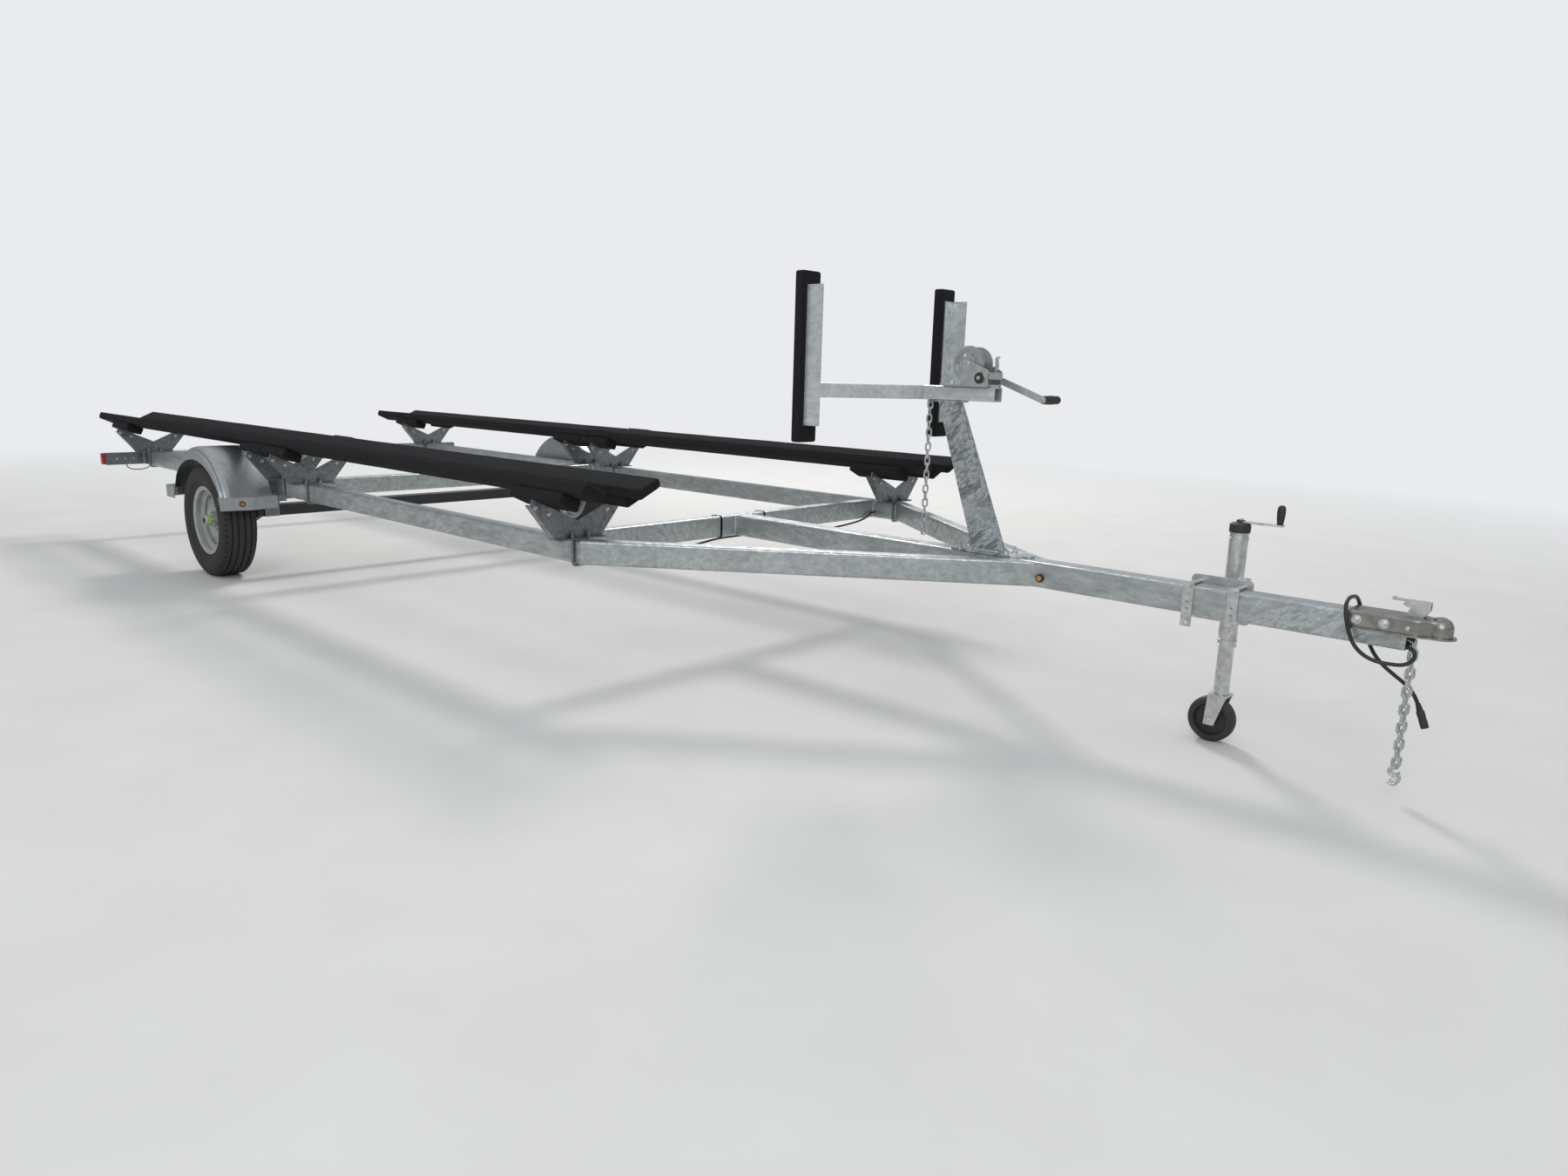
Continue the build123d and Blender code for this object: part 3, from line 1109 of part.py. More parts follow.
cord_points = [(FRONT + x, y, FRAME_TOP + z) for x, y, z in CORD_POINTS]
radii = cord_radii(cord_points)
print("cord radii", [round(r) for r in radii])
with BuildPart() as wiring_cord:
    with BuildLine() as route:
        FilletPolyline(*cord_points, radius=radii)
    with BuildSketch(Plane(route.line @ 0, z_dir=route.line % 0)):
        Circle(CORD_R)
    sweep()
cord_length = route.wires()[0].length
cord_share = wiring_cord.part.volume / (pi * CORD_R ** 2 * cord_length)
print("cord length", round(cord_length), "volume ratio", round(cord_share, 4))
write(wiring_cord.part, "wiring_cord")

PLUG_R = 11.0
PLUG_L = 52.0
with BuildPart() as cord_plug:
    with BuildSketch(Plane(route.line @ 1, z_dir=route.line % 1)):
        Circle(PLUG_R)
    extrude(amount=PLUG_L)
write(cord_plug.part, "cord_plug")


def lead(points, radius):
    """Round lead along a route of points, bent as widely as its runs allow."""
    with BuildPart() as one:
        with BuildLine() as line:
            FilletPolyline(*points, radius=cord_radii(points))
        with BuildSketch(Plane(line.line @ 0, z_dir=line.line % 0)):
            Circle(radius)
        sweep()
    print("lead length", round(line.wires()[0].length), [round(r) for r in cord_radii(points)])
    return one.part


# Loom slung under the front crossmember, from rail to rail
LOOM_R = 4.5
LOOM_POINTS = (
    (14.0, 940.0, 30.0), (14.0, 908.0, 30.0), (12.0, 868.0, 2.0), (-4.0, 812.0, -15.0),
    (-14.0, 660.0, -29.0),
    (-15.0, 440.0, -32.0), (-14.0, 250.0, -20.0), (-14.0, 140.0, -6.5), (-14.0, 0.0, -7.0),
    (-14.0, -130.0, -6.5), (-14.0, -260.0, -18.0), (-15.0, -460.0, -33.0), (-14.0, -690.0, -28.0),
    (-4.0, -818.0, -14.0),
    (12.0, -870.0, 3.0), (14.0, -909.0, 30.0), (14.0, -940.0, 30.0),
)
loom_points = [(FRONT + FRONT_CROSS + x, -y, FRAME_BOTTOM + z) for x, y, z in LOOM_POINTS]
write(lead(loom_points, LOOM_R), "loom")

# Lead from each tail light, down under its plate and into the rail's open end
LEAD_R = 3.0
LEAD_POINTS = (
    (-26.0, 108.0, 0.0), (-26.0, 108.0, -18.0), (-22.0, 88.0, -33.0), (-10.0, 52.0, -38.0),
    (2.0, 14.0, -33.0),
    (10.0, -13.0, -20.0), (15.0, -24.0, 2.0), (27.0, -28.0, 6.5), (52.0, -29.0, 1.4),
)
for side, s in SIDES:
    lead_points = [
        (PLATE_X + x, s * (FRAME_W / 2 + y), LAMP_Z - LAMP_H / 2 + z) for x, y, z in LEAD_POINTS
    ]
    write(lead(lead_points, LEAD_R), f"lamp_lead_{side}")
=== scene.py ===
import math
import random

import bmesh
import bpy
from mathutils import Matrix, Vector, noise


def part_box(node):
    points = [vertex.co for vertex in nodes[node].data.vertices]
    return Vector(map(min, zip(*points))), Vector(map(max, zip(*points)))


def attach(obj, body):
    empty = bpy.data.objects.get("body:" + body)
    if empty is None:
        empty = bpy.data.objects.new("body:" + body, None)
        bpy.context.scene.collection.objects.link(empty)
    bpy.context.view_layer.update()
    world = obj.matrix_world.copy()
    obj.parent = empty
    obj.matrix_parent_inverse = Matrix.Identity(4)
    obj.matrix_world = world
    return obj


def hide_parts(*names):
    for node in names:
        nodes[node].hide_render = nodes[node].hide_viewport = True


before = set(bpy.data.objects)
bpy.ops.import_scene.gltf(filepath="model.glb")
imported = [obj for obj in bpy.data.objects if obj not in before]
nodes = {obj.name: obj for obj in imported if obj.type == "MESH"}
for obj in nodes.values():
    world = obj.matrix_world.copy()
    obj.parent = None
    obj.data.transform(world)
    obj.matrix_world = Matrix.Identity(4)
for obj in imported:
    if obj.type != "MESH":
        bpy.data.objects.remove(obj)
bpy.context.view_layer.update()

SIDES = (("right", -1), ("left", 1))
WALL = (0.82, 0.83, 0.85)      # plain pale background


# Finishes
def start_finish(name, metal, rough):
    made = bpy.data.materials.new(name)
    made.use_nodes = True
    tree = made.node_tree
    surface = tree.nodes["Principled BSDF"]
    surface.inputs["Metallic"].default_value = metal
    surface.inputs["Roughness"].default_value = rough
    return made, tree, surface


def spot(tree, scale=(1, 1, 1), turn=(0, 0, 0), kind="POINT"):
    """Place on the piece; as a TEXTURE the pattern is stretched along turned axes."""
    where = tree.nodes.new("ShaderNodeTexCoord")
    moved = tree.nodes.new("ShaderNodeMapping")
    moved.vector_type = kind
    moved.inputs["Scale"].default_value = scale
    moved.inputs["Rotation"].default_value = turn
    tree.links.new(where.outputs["Object"], moved.inputs["Vector"])
    return moved.outputs[0]


def cloud(tree, at, scale, detail=4.0, rough=0.55):
    made = tree.nodes.new("ShaderNodeTexNoise")
    made.inputs["Scale"].default_value = scale
    made.inputs["Detail"].default_value = detail
    made.inputs["Roughness"].default_value = rough
    tree.links.new(at, made.inputs["Vector"])
    return made.outputs["Fac"]


def crystals(tree, at, scale, out="Color"):
    made = tree.nodes.new("ShaderNodeTexVoronoi")
    made.inputs["Scale"].default_value = scale
    made.inputs["Randomness"].default_value = 1.0
    tree.links.new(at, made.inputs["Vector"])
    return made.outputs[out]


def shades(tree, value, *stops):
    """Colours at their places along a value."""
    made = tree.nodes.new("ShaderNodeValToRGB")
    ramp = made.color_ramp
    while len(ramp.elements) < len(stops):
        ramp.elements.new(0.5)
    for element, (place, colour) in zip(ramp.elements, stops):
        element.position = place
        element.color = (*colour, 1)
    tree.links.new(value, made.inputs["Fac"])
    return made.outputs["Color"]


def greys(tree, value, *stops):
    return shades(tree, value, *((place, (level,) * 3) for place, level in stops))


def feed(tree, socket, value):
    """Lead an output into a socket, or set a plain value there."""
    if hasattr(value, "links"):
        tree.links.new(value, socket)
    else:
        socket.default_value = value


def blended(tree, amount, first, second, kind="MIX"):
    made = tree.nodes.new("ShaderNodeMix")
    made.data_type = "RGBA"
    made.blend_type = kind
    for name, sort, value in (("Factor", "VALUE", amount), ("A", "RGBA", first), ("B", "RGBA", second)):
        socket = next(s for s in made.inputs if s.name == name and s.type == sort)
        feed(tree, socket, (*value, 1) if isinstance(value, tuple) else value)
    return next(s for s in made.outputs if s.type == "RGBA")


def sums(tree, kind, first, second):
    made = tree.nodes.new("ShaderNodeMath")
    made.operation = kind
    for socket, value in zip(made.inputs, (first, second)):
        feed(tree, socket, value)
    return made.outputs[0]


def relief(tree, surface, height, strength, depth):
    made = tree.nodes.new("ShaderNodeBump")
    made.inputs["Strength"].default_value = strength
    made.inputs["Distance"].default_value = depth
    tree.links.new(height, made.inputs["Height"])
    tree.links.new(made.outputs["Normal"], surface.inputs["Normal"])
    return made


def dress(tree, surface, colour, rough=None):
    """Lead a colour, and a roughness that varies, to the surface."""
    tree.links.new(colour, surface.inputs["Base Color"])
    if rough is not None:
        tree.links.new(rough, surface.inputs["Roughness"])


def vector_step(tree, kind, *values):
    made = tree.nodes.new("ShaderNodeVectorMath")
    made.operation = kind
    for socket, value in zip(made.inputs, values):
        feed(tree, socket, value)
    return made.outputs[0]


def facets(tree, cells, tilt):
    """Each crystal faces a little its own way, so it catches the light by itself."""
    face = tree.nodes.new("ShaderNodeNewGeometry").outputs["Normal"]
    off = vector_step(tree, "SUBTRACT", cells, (0.5, 0.5, 0.5))
    lean = vector_step(tree, "MULTIPLY_ADD", off, (tilt, tilt, tilt), face)
    return vector_step(tree, "NORMALIZE", lean)


def tinted(colour, share):
    return tuple(c * share for c in colour)


def galvanised(name, dark, pale, grain, metal=0.8, tilt=0.22, gloss=(0.46, 0.27), runs_and_glints=0.5, sparse=0.54):
    """Hot-dip zinc: feathered spangle, dull drifts, and here and there strong streaks where it ran off, with
    painted glints along them.
    """
    made, tree, surface = start_finish(name, metal, 0.4)
    at = spot(tree)
    strokes = cloud(tree, spot(tree, (14, 52, 52), (0.5, 0.75, 0.4)), 1.0, 5.0, 0.62)
    feathers = crystals(tree, spot(tree, (0.5, 1.0, 1.0), (0.7, 0.5, 0.9)), grain)
    fine = crystals(tree, at, grain * 2.4)
    broad = greys(tree, strokes, (0.34, 0.0), (0.66, 1.0))
    mottled = blended(tree, 0.26, blended(tree, 0.20, broad, feathers), fine)
    drift = cloud(tree, at, 4.2, 5.0, 0.6)
    calm = shades(tree, mottled, (0.12, dark), (0.82, pale))
    veins = cloud(tree, spot(tree, (0.075, 0.022, 0.020), (0.1, -0.62, 0.15), "TEXTURE"), 1.0, 4.0, 0.7)
    # Painted glint: the streaks' crests are painted lighter than the pale zinc and stand in for sun glints.
    painted_glint = tuple(min(c * 1.35, 0.9) for c in pale)
    runs_with_glints = shades(
        tree, veins, (0.36, tinted(dark, 0.72)), (0.47, dark), (0.53, painted_glint), (0.62, dark), (0.72, pale),
    )
    patches = cloud(tree, spot(tree, (1.9, 2.6, 2.6)), 1.0, 2.0, 0.5)
    # Patches of the surface take the streaks and their painted glints.
    body = blended(tree, greys(tree, patches, (sparse, 0.0), (sparse + 0.1, runs_and_glints)), calm, runs_with_glints)
    wash = greys(tree, drift, (0.3, 0.80), (0.7, 1.0))
    rough = greys(tree, mottled, (0.1, gloss[0]), (0.85, gloss[1]))
    dress(tree, surface, blended(tree, 1.0, body, wash, "MULTIPLY"), rough)
    height = sums(tree, "ADD", cloud(tree, at, 150.0, 3.0), sums(tree, "MULTIPLY", drift, 2.0))
    skin = relief(tree, surface, height, 0.2, 0.0010)
    tree.links.new(facets(tree, feathers, tilt), skin.inputs["Normal"])
    return made


def plated(name, colour, rough=0.28):
    """Bright zinc plate with dull clouds."""
    made, tree, surface = start_finish(name, 0.95, rough)
    at = spot(tree)
    dull = cloud(tree, at, 38.0, 6.0, 0.7)
    worn = greys(tree, dull, (0.25, min(rough + 0.25, 1)), (0.7, rough))
    dress(tree, surface, shades(tree, dull, (0.3, tinted(colour, 0.62)), (0.62, colour)), worn)
    relief(tree, surface, cloud(tree, at, 300.0, 2.0), 0.12, 0.0006)
    return made


def painted(name, colour, rough, metal=0.0, coat=0.0):
    """Paint or smooth plastic under a little dust."""
    made, tree, surface = start_finish(name, metal, rough)
    at = spot(tree)
    dust = cloud(tree, at, 16.0, 6.0, 0.65)
    dusted = tuple(min(c * 1.12 + 0.008, 1) for c in colour)
    fade = shades(tree, dust, (0.3, tinted(colour, 0.8)), (0.7, dusted))
    dress(tree, surface, fade, greys(tree, dust, (0.3, rough), (0.75, min(rough + 0.22, 1))))
    surface.inputs["Coat Weight"].default_value = coat
    relief(tree, surface, cloud(tree, at, 420.0, 2.0), 0.1, 0.0005)
    return made


def carpet(name, colour):
    """Short matted pile."""
    made, tree, surface = start_finish(name, 0.0, 0.95)
    at = spot(tree)
    tufts = crystals(tree, at, 330.0, "Distance")
    fuzz = cloud(tree, at, 900.0, 3.0, 0.7)
    patches = cloud(tree, at, 14.0, 4.0, 0.6)
    pile = sums(tree, "SUBTRACT", sums(tree, "MULTIPLY", fuzz, 1.1), sums(tree, "MULTIPLY", tufts, 0.9))
    speckle = shades(tree, pile, (0.0, tinted(colour, 0.35)), (0.5, tinted(colour, 1.9)))
    wash = greys(tree, patches, (0.3, 0.7), (0.7, 1.0))
    dress(tree, surface, blended(tree, 1.0, speckle, wash, "MULTIPLY"))
    surface.inputs["Sheen Weight"].default_value = 0.06
    surface.inputs["Sheen Roughness"].default_value = 0.6
    surface.inputs["Specular IOR Level"].default_value = 0.1
    relief(tree, surface, pile, 1.0, 0.004)
    return made


def rubber(name, colour, rough, dusty):
    """Black rubber that turns brown where dust lies."""
    made, tree, surface = start_finish(name, 0.0, rough)
    at = spot(tree)
    dust = cloud(tree, at, 22.0, 7.0, 0.7)
    brown = (0.10, 0.085, 0.068)
    lying = greys(tree, dust, (0.42, 0.0), (0.8, dusty))
    worn = greys(tree, dust, (0.3, rough - 0.15), (0.7, min(rough + 0.1, 1)))
    dress(tree, surface, blended(tree, lying, colour, brown), worn)
    relief(tree, surface, cloud(tree, at, 650.0, 2.0), 0.25, 0.0006)
    return made


def lens(name, colour):
    """Moulded lens with fine ribs."""
    made, tree, surface = start_finish(name, 0.0, 0.12)
    ribs = tree.nodes.new("ShaderNodeTexWave")
    ribs.bands_direction = "Y"
    ribs.inputs["Scale"].default_value = 220.0
    tree.links.new(spot(tree), ribs.inputs["Vector"])
    dress(tree, surface, shades(tree, ribs.outputs["Fac"], (0.2, tinted(colour, 0.6)), (0.8, colour)))
    surface.inputs["Coat Weight"].default_value = 0.6
    surface.inputs["Subsurface Weight"].default_value = 0.15
    relief(tree, surface, ribs.outputs["Fac"], 0.3, 0.0006)
    return made


# Each zinc below sets how much of it takes the streaks with painted glints; the post has the most.
zinc_frame = galvanised("galvanised_tube", (0.35, 0.375, 0.38), (0.55, 0.58, 0.58), 85.0, tilt=0.12)
zinc_post = galvanised("galvanised_post", (0.31, 0.335, 0.34), (0.57, 0.60, 0.60), 85.0,
                       tilt=0.14, gloss=(0.46, 0.25), runs_and_glints=0.85, sparse=0.42)
zinc_pale = galvanised("galvanised_guide", (0.54, 0.57, 0.575), (0.79, 0.82, 0.82), 85.0,
                       metal=0.62, tilt=0.10, runs_and_glints=0.3)
zinc_plate = galvanised("galvanised_plate", (0.155, 0.17, 0.175), (0.275, 0.295, 0.30), 95.0,
                        tilt=0.12, runs_and_glints=0.4)
fender_sheet = galvanised("fender_sheet", (0.35, 0.37, 0.385), (0.42, 0.44, 0.455), 160.0,
                          metal=0.85, tilt=0.05, gloss=(0.40, 0.34), runs_and_glints=0.0)
bright_zinc = plated("bright_zinc", (0.66, 0.67, 0.66))
coupler_zinc = plated("coupler_zinc", (0.32, 0.32, 0.29), 0.20)
gear_zinc = plated("gear_zinc", (0.60, 0.62, 0.62))
black_paint = painted("black_axle_paint", (0.022, 0.022, 0.024), 0.45)
wheel_silver = painted("wheel_silver", (0.42, 0.43, 0.42), 0.36, metal=0.45, coat=0.15)
lime = painted("lime_cap", (0.37, 0.56, 0.17), 0.4, coat=0.2)
bunk_carpet = carpet("bunk_carpet", (0.016, 0.0155, 0.019))
tyre_rubber = rubber("tyre_rubber", (0.021, 0.020, 0.019), 0.8, 0.4)
grip_rubber = rubber("grip_rubber", (0.018, 0.018, 0.018), 0.6, 0.1)
cord_jacket = rubber("cord_jacket", (0.012, 0.012, 0.012), 0.45, 0.06)
black_plastic = painted("black_plastic", (0.02, 0.02, 0.02), 0.5)
red_lens = lens("red_lens", (0.42, 0.012, 0.015))
amber_lens = lens("amber_lens", (0.52, 0.20, 0.02))
clear_lens = lens("clear_lens", (0.62, 0.64, 0.66))
chain_zinc = plated("chain_zinc", (0.58, 0.60, 0.60), 0.24)
brass = plated("brass_contacts", (0.62, 0.45, 0.17), 0.25)
weld_metal = galvanised("galvanised_weld", (0.45, 0.47, 0.47), (0.68, 0.70, 0.70), 160.0)

node_finish = {
    zinc_frame: (
        "rail_right", "rail_left", "arm_right", "arm_left", "tongue",
        "front_crossmember", "middle_crossmember", "rear_crossmember",
    ),
    zinc_post: ("winch_post",),
    zinc_pale: ("stop_tube", "guide_arms"),
    zinc_plate: ("bunk_brackets", "bunk_u_bolts", "light_brackets", "axle_hangers", "fender_supports"),
    fender_sheet: ("fender_right", "fender_left"),
    gear_zinc: ("winch_gear", "winch_drum"),
    bright_zinc: (
        "winch_frame", "winch_crank", "jack_mount", "jack_clamps", "jack_tube",
        "jack_leg", "jack_fork", "coupler_latch", "hub_right", "hub_left",
    ),
    coupler_zinc: ("coupler",),
    black_paint: ("axle_beam", "trailing_arms"),
    wheel_silver: ("rim_right", "rim_left"),
    black_plastic: ("jack_wheel",),
    amber_lens: ("marker_lights",),
}
for surface, names in node_finish.items():
    for name in names:
        for held in nodes[name].material_slots:
            held.material = surface


# Sizes shared with the model, in metres
def middle_of(name, axis):
    low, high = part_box(name)
    return (low[axis] + high[axis]) / 2


rail_low, rail_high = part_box("rail_right")
front = rail_high[0]
frame_top = rail_high[2]
frame_low = rail_low[2]
rail_y = middle_of("rail_left", 1)
axle = Vector(middle_of("tyre_right", k) for k in range(3))
cross_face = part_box("front_crossmember")[1][0]
tongue_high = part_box("tongue")[1]
lamp_low, lamp_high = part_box("tail_lights")
plate_face = lamp_high[0] + 0.005      # forward face of the lights' plates
gear = Vector(middle_of("winch_gear", k) for k in range(3))
HALF_FRAME = 1.0                       # middle to the rails' outer faces
TONGUE_REACH = 2.447                   # tongue's end ahead of the rails' front corners
ARM_REACH = 1.299                      # where the arms meet the tongue
POST_FOOT = (0.985, 1.178)             # base plate's bolts
SLOPE = math.radians(25.0)             # sides of the V brackets
notch = frame_top + 0.066              # bottom of each V
stations = [front + x for x in (-0.050, -2.265, -2.540, -4.602)]


# Camera, floor and light
def look():
    eye = bpy.data.objects.new("camera", bpy.data.cameras.new("camera"))
    bpy.context.scene.collection.objects.link(eye)
    right = Vector((0.7372, 0.6751, 0.0281))
    down = Vector((0.1559, -0.1294, -0.9793))
    ahead = Vector((-0.6575, 0.7263, -0.2006))
    beyond_corner, beside, above_frame = 3.054, -3.268, 0.612
    place = Vector((tongue_high[0] - TONGUE_REACH + beyond_corner, beside, frame_top + above_frame))
    turn = Matrix((right, -down, -ahead)).transposed()
    eye.matrix_world = Matrix.Translation(place) @ turn.to_4x4()
    eye.data.lens = 24.0
    eye.data.sensor_width = 36.0
    eye.data.clip_start = 0.05
    bpy.context.scene.camera = eye


def sky():
    """Soft sky, bright overhead and dimmer to the sides; seen straight it is a plain pale wall."""
    world = bpy.data.worlds.new("soft_sky")
    world.use_nodes = True
    tree = world.node_tree
    way = tree.nodes.new("ShaderNodeTexCoord")
    split = tree.nodes.new("ShaderNodeSeparateXYZ")
    tree.links.new(way.outputs["Generated"], split.inputs[0])
    glow = shades(
        tree, split.outputs["Z"],
        (0.0, (0.29, 0.30, 0.32)), (0.18, (0.40, 0.42, 0.45)),
        (0.55, (0.60, 0.63, 0.68)), (1.0, (0.86, 0.87, 0.88)),
    )
    path = tree.nodes.new("ShaderNodeLightPath")
    backing = tree.nodes["Background"]
    tree.links.new(blended(tree, path.outputs["Is Camera Ray"], glow, WALL), backing.inputs["Color"])
    backing.inputs["Strength"].default_value = 1.0
    return world


def pale_floor():
    """Pale floor that keeps the shadow near the trailer and meets the wall's colour far out."""
    made, tree, surface = start_finish("pale_floor", 0.0, 0.9)
    at = spot(tree)
    tint = shades(tree, cloud(tree, at, 2.2, 5.0), (0.3, (0.60, 0.595, 0.58)), (0.7, (0.635, 0.63, 0.615)))
    dress(tree, surface, tint)
    reach = tree.nodes.new("ShaderNodeVectorMath")
    reach.operation = "LENGTH"
    tree.links.new(at, reach.inputs[0])
    far = greys(tree, sums(tree, "DIVIDE", reach.outputs["Value"], 30.0), (0.17, 0.0), (0.36, 1.0))
    glow = tree.nodes.new("ShaderNodeEmission")
    glow.inputs["Color"].default_value = (*WALL, 1)
    path = tree.nodes.new("ShaderNodeLightPath")
    mixed = tree.nodes.new("ShaderNodeMixShader")
    tree.links.new(sums(tree, "MULTIPLY", far, path.outputs["Is Camera Ray"]), mixed.inputs[0])
    tree.links.new(surface.outputs[0], mixed.inputs[1])
    tree.links.new(glow.outputs[0], mixed.inputs[2])
    tree.links.new(mixed.outputs[0], tree.nodes["Material Output"].inputs["Surface"])
    return made


def lamp(name, place, size, power, colour):
    """Round lamp that faces the trailer's middle."""
    light = bpy.data.lights.new(name, "AREA")
    light.shape = "DISK"
    light.size = size
    light.energy = power
    light.color = colour
    held = bpy.data.objects.new(name, light)
    held.location = place
    held.rotation_euler = (Vector((0, 0, 0.4)) - Vector(place)).to_track_quat("-Z", "Y").to_euler()
    bpy.context.scene.collection.objects.link(held)


def stage_and_light():
    scene = bpy.context.scene
    scene.view_settings.view_transform = "Standard"
    scene.world = sky()
    shape = bmesh.new()
    bmesh.ops.create_grid(shape, x_segments=1, y_segments=1, size=60.0)
    floor = bpy.data.objects.new("floor", bpy.data.meshes.new("floor"))
    shape.to_mesh(floor.data)
    shape.free()
    scene.collection.objects.link(floor)
    floor.data.materials.append(pale_floor())
    lamp("key", (-5.0, 7.0, 9.0), 3.0, 800.0, (1.0, 0.98, 0.94))
    lamp("fill", (6.0, -7.5, 5.0), 6.0, 280.0, (0.97, 0.98, 1.0))


# Cords
def line(name, points, radius, stands_for):
    """Smooth NURBS line through its control points, as a round tube."""
    curve = bpy.data.curves.new(name, "CURVE")
    curve.dimensions = "3D"
    run = curve.splines.new("NURBS")
    run.points.add(len(points) - 1)
    for held, place in zip(run.points, points):
        held.co = (*place, 1.0)
    run.order_u = 3
    run.use_endpoint_u = True
    run.resolution_u = 8
    curve.bevel_depth = radius
    curve.bevel_resolution = 4
    curve.use_fill_caps = True
    curve.materials.append(cord_jacket)
    made = bpy.data.objects.new(name, curve)
    bpy.context.scene.collection.objects.link(made)
    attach(made, "frame")
    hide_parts(stands_for)
    return made


WIRING_ROUTE = (
    (2.408, -0.028, -0.0784), (2.442, -0.029, -0.0782), (2.470, -0.032, -0.084),
    (2.473, -0.037, -0.111), (2.450, -0.043, -0.130),
    (2.412, -0.050, -0.131), (2.380, -0.059, -0.128), (2.348, -0.066, -0.113), (2.322, -0.069, -0.086),
    (2.306, -0.068, -0.050), (2.296, -0.067, -0.014), (2.290, -0.060, 0.018), (2.288, -0.030, 0.033),
    (2.289, 0.006, 0.033), (2.291, 0.040, 0.030), (2.295, 0.065, 0.010), (2.303, 0.071, -0.024),
    (2.316, 0.071, -0.062), (2.331, 0.068, -0.100), (2.350, 0.064, -0.134), (2.378, 0.060, -0.162),
    (2.412, 0.056, -0.184), (2.447, 0.055, -0.206), (2.474, 0.057, -0.236), (2.488, 0.058, -0.272),
)
LOOM_ROUTE = (
    (0.014, 0.940, 0.030), (0.014, 0.908, 0.030), (0.012, 0.868, 0.002), (-0.004, 0.812, -0.015),
    (-0.014, 0.660, -0.029),
    (-0.015, 0.440, -0.032), (-0.014, 0.250, -0.020), (-0.014, 0.140, -0.0065), (-0.014, 0.000, -0.007),
    (-0.014, -0.130, -0.0065), (-0.014, -0.260, -0.018), (-0.015, -0.460, -0.033), (-0.014, -0.690, -0.028),
    (-0.004, -0.818, -0.014),
    (0.012, -0.870, 0.003), (0.014, -0.909, 0.030), (0.014, -0.940, 0.030),
)
LEAD_ROUTE = (
    (-0.026, 0.108, 0.0), (-0.026, 0.108, -0.018), (-0.022, 0.088, -0.033), (-0.010, 0.052, -0.038),
    (0.002, 0.014, -0.033),
    (0.010, -0.013, -0.020), (0.015, -0.024, 0.002), (0.027, -0.028, 0.0065), (0.052, -0.029, 0.0014),
)
wiring_points = [(front + x, y, frame_top + z) for x, y, z in WIRING_ROUTE]


def loom_and_leads():
    points = [(cross_face + x, -y, frame_low + z) for x, y, z in LOOM_ROUTE]
    loom = line("loom_line", points, 0.0045, "loom")
    for side, s in SIDES:
        points = [(plate_face + x, s * (HALF_FRAME + y), lamp_low[2] + z) for x, y, z in LEAD_ROUTE]
        lead = line("lead_" + side, points, 0.003, "lamp_lead_" + side)


# Making pieces
def piece(name, shape, surface, body, angle=38.0, merge=1e-6):
    """Close the seams, turn the faces out and give the shape to a body."""
    if merge:
        bmesh.ops.remove_doubles(shape, verts=shape.verts, dist=merge)
    bmesh.ops.recalc_face_normals(shape, faces=shape.faces)
    limit = math.radians(angle)
    for face in shape.faces:
        face.smooth = True
    for edge in shape.edges:
        edge.smooth = len(edge.link_faces) == 2 and edge.calc_face_angle(0.0) < limit
    made = bpy.data.objects.new(name, bpy.data.meshes.new(name))
    shape.to_mesh(made.data)
    shape.free()
    made.data.materials.append(surface)
    bpy.context.scene.collection.objects.link(made)
    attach(made, body)
    return made


def towards(direction):
    """Turn that takes +Z to a direction."""
    return Vector(direction).to_track_quat("Z", "Y").to_matrix().to_4x4()


def added(shape, known):
    """Vertices made since known was taken."""
    return [v for v in shape.verts if v not in known]


def edges_of(verts):
    return list({e for v in verts for e in v.link_edges})


def cut(shape, known, at, normal, trim=False):
    """Cut what was added by a plane, and trim away what lies beyond it."""
    geom = added(shape, known)
    geom += edges_of(geom) + list({f for v in geom for f in v.link_faces})
    bmesh.ops.bisect_plane(shape, geom=geom, plane_co=at, plane_no=normal, clear_outer=trim)


def turned(shape, outline, middle, direction, steps, whole=True):
    """Turn an outline of (radius, height) points about a line through middle; whole closes the outline."""
    known = set(shape.verts)
    points = [shape.verts.new((radius, 0, height)) for radius, height in outline]
    pairs = list(zip(points, points[1:])) + ([(points[-1], points[0])] if whole else [])
    edges = [shape.edges.new(pair) for pair in pairs]
    bmesh.ops.spin(shape, geom=points + edges, cent=(0, 0, 0), axis=(0, 0, 1),
                   angle=2 * math.pi, steps=steps, use_merge=True)
    bmesh.ops.remove_doubles(shape, verts=added(shape, known), dist=1e-7)
    fresh = added(shape, known)
    bmesh.ops.transform(shape, matrix=Matrix.Translation(middle) @ towards(direction), verts=fresh)


def turned_piece(name, outline, at, direction, steps, surface, body, whole=True, angle=38.0):
    shape = bmesh.new()
    turned(shape, outline, at, direction, steps, whole)
    return piece(name, shape, surface, body, angle)


def rod(shape, start, end, radius, sides=16, tip=0.0):
    """Round bar from start to end, with its ends broken by tip."""
    start, end = Vector(start), Vector(end)
    tip = min(tip, radius * 0.6)
    length = (end - start).length
    outline = (
        (0, 0), (radius - tip, 0), (radius, tip), (radius, length - tip), (radius - tip, length), (0, length),
    )
    turned(shape, outline, start, end - start, sides, False)


def block(shape, low, high, round_off, steps=2):
    """Bar between two corners with broken edges."""
    low, high = Vector(low), Vector(high)
    made = bmesh.ops.create_cube(shape, size=1.0)["verts"]
    bmesh.ops.scale(shape, vec=high - low, verts=made)
    bmesh.ops.translate(shape, vec=(low + high) / 2, verts=made)
    bmesh.ops.bevel(shape, geom=edges_of(made), offset=round_off, offset_type="OFFSET", segments=steps,
                    profile=0.5, affect="EDGES", material=-1, clamp_overlap=True)


